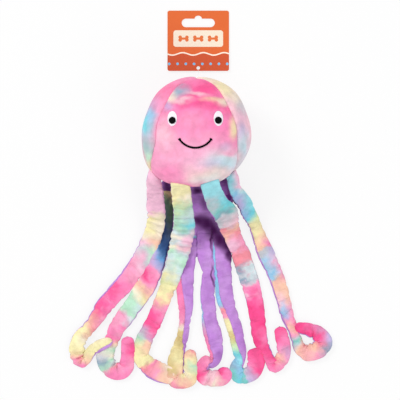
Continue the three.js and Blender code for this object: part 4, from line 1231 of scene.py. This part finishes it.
def cardPaint():
    paint = Paint("printedCard")
    place = paint.within()
    grain = paint.noise(place, 1500.0, 3.0, 0.6)
    color = paint.mix(paint.noise(place, 45.0), linear(card["deepOrange"]), linear(card["orange"]))
    x, y = paint.split(place)
    x, y = x - card["middle"][0], y - card["middle"][1]
    wave = (x * (2 * math.pi / card["wavePitch"])).math("SINE") * card["waveHeight"] + card["waveLine"]
    color = paint.mix(y.math("LESS_THAN", wave + card["waveEdge"]), color, linear(card["edge"]))
    color = paint.mix(y.math("LESS_THAN", wave), color, linear(card["lowOrange"]))
    u = ((x / card["bonePitch"] + 0.5).math("FRACT") - 0.5).math("ABSOLUTE") * card["bonePitch"]
    v = (y - card["boneLine"]).math("ABSOLUTE")
    px = (x.math("ABSOLUTE") - (card["panelHalf"][0] - card["panelCorner"])).math("MAXIMUM", 0.0)
    py = (v - (card["panelHalf"][1] - card["panelCorner"])).math("MAXIMUM", 0.0)
    panel = (px * px + py * py).math("LESS_THAN", card["panelCorner"] ** 2)
    color = paint.mix(panel, color, linear(card["cream"]))
    shank = u.math("LESS_THAN", card["boneHalf"]) * v.math("LESS_THAN", card["shank"])
    du, dv = u - card["boneHalf"], v - card["knuckleRise"]
    knuckle = (du * du + dv * dv).math("LESS_THAN", card["knuckle"] ** 2)
    row = x.math("ABSOLUTE").math("LESS_THAN", card["bonePitch"] * card["bones"] / 2)
    color = paint.mix(shank.math("MAXIMUM", knuckle) * row, color, linear(card["bone"]))
    du = ((x / card["dotPitch"]).math("FRACT") - 0.5) * card["dotPitch"]
    dv = y - card["dotLine"]
    isDot = (du * du + dv * dv).math("LESS_THAN", card["dot"] ** 2)
    return paint.finish({
        "Base Color": paint.mix(isDot, color, linear(card["dotBlue"])),
        "Roughness": paint.remap(grain, 0.3, 0.7, 0.42, 0.52),
        "Normal": paint.bump(0.1, 0.05 * mm, grain),
    })


paintNode("header_card", cardPaint())

nylon = Paint("clearNylon")
nylonCloud = nylon.noise(nylon.within(), 300.0)
clearNylon = nylon.finish({
    "Base Color": linear((250, 250, 252)),
    "Roughness": nylon.remap(nylonCloud, 0.3, 0.7, 0.15, 0.3),
    "Alpha": nylon.remap(nylonCloud, 0.3, 0.7, 0.10, 0.18),
})
paintNode("tag_fastener", clearNylon)
print("stage: card")

studioLook = {
    "floorHalf": 6.0,  # metres
    "floorDrop": 0.3 * mm,
    "floorGrey": (240, 240, 240),
    "floorGlow": 0.82,  # share of pure white in what the camera sees of the floor
    "skyLight": 0.7,
    "aim": (0, -0.06, 0.02),
    "lamps": {  # place, size, watts
        "keyLamp": ((-1.9, 1.5, 2.6), 1.2, 48),
        "fillLamp": ((1.6, -1.7, 2.2), 2.0, 24),
    },
    "cameraPlace": (0.0033, -0.065, 1.8),
    "lens": 167.5,
}


def studio():
    half = studioLook["floorHalf"]
    white = (1, 1, 1, 1)
    mesh = bpy.data.meshes.new("floor")
    corners = [(-half, -half, 0), (half, -half, 0), (half, half, 0), (-half, half, 0)]
    mesh.from_pydata(corners, [], [(0, 1, 2, 3)])
    floor = added("floor", mesh, (0, 0, -studioLook["floorDrop"]))
    paint = Paint("paleFloor")
    matte = paint.make("ShaderNodeBsdfDiffuse", None, {"Color": linear(studioLook["floorGrey"])})
    glow = paint.make("ShaderNodeEmission", None, {"Color": white, "Strength": 1.0})
    share = paint.seen() * studioLook["floorGlow"]
    surface = paint.make("ShaderNodeMixShader", None, {0: share, 1: matte, 2: glow})
    paint.node("ShaderNodeOutputMaterial", None, {"Surface": surface})
    mesh.materials.append(paint.material)

    world = bpy.data.worlds.new("studio")
    scene.world = world
    sky = Paint("studio", world)
    soft = sky.make("ShaderNodeBackground", None, {"Color": white, "Strength": studioLook["skyLight"]})
    plain = sky.make("ShaderNodeBackground", None, {"Color": white, "Strength": 1.0})
    shown = sky.make("ShaderNodeMixShader", None, {0: sky.seen(), 1: soft, 2: plain})
    sky.node("ShaderNodeOutputWorld", None, {"Surface": shown})

    for lampName, (place, size, power) in studioLook["lamps"].items():
        light = bpy.data.lights.new(lampName, "AREA")
        light.shape = "SQUARE"
        light.size = size
        light.energy = power
        aim = Vector(studioLook["aim"]) - Vector(place)
        added(lampName, light, place).rotation_euler = aim.to_track_quat("-Z", "Y").to_euler()

    cameraData = bpy.data.cameras.new("camera")
    cameraData.lens = studioLook["lens"]
    scene.camera = added("camera", cameraData, studioLook["cameraPlace"])
    scene.view_settings.view_transform = "Standard"


studio()
print("stage: studio")
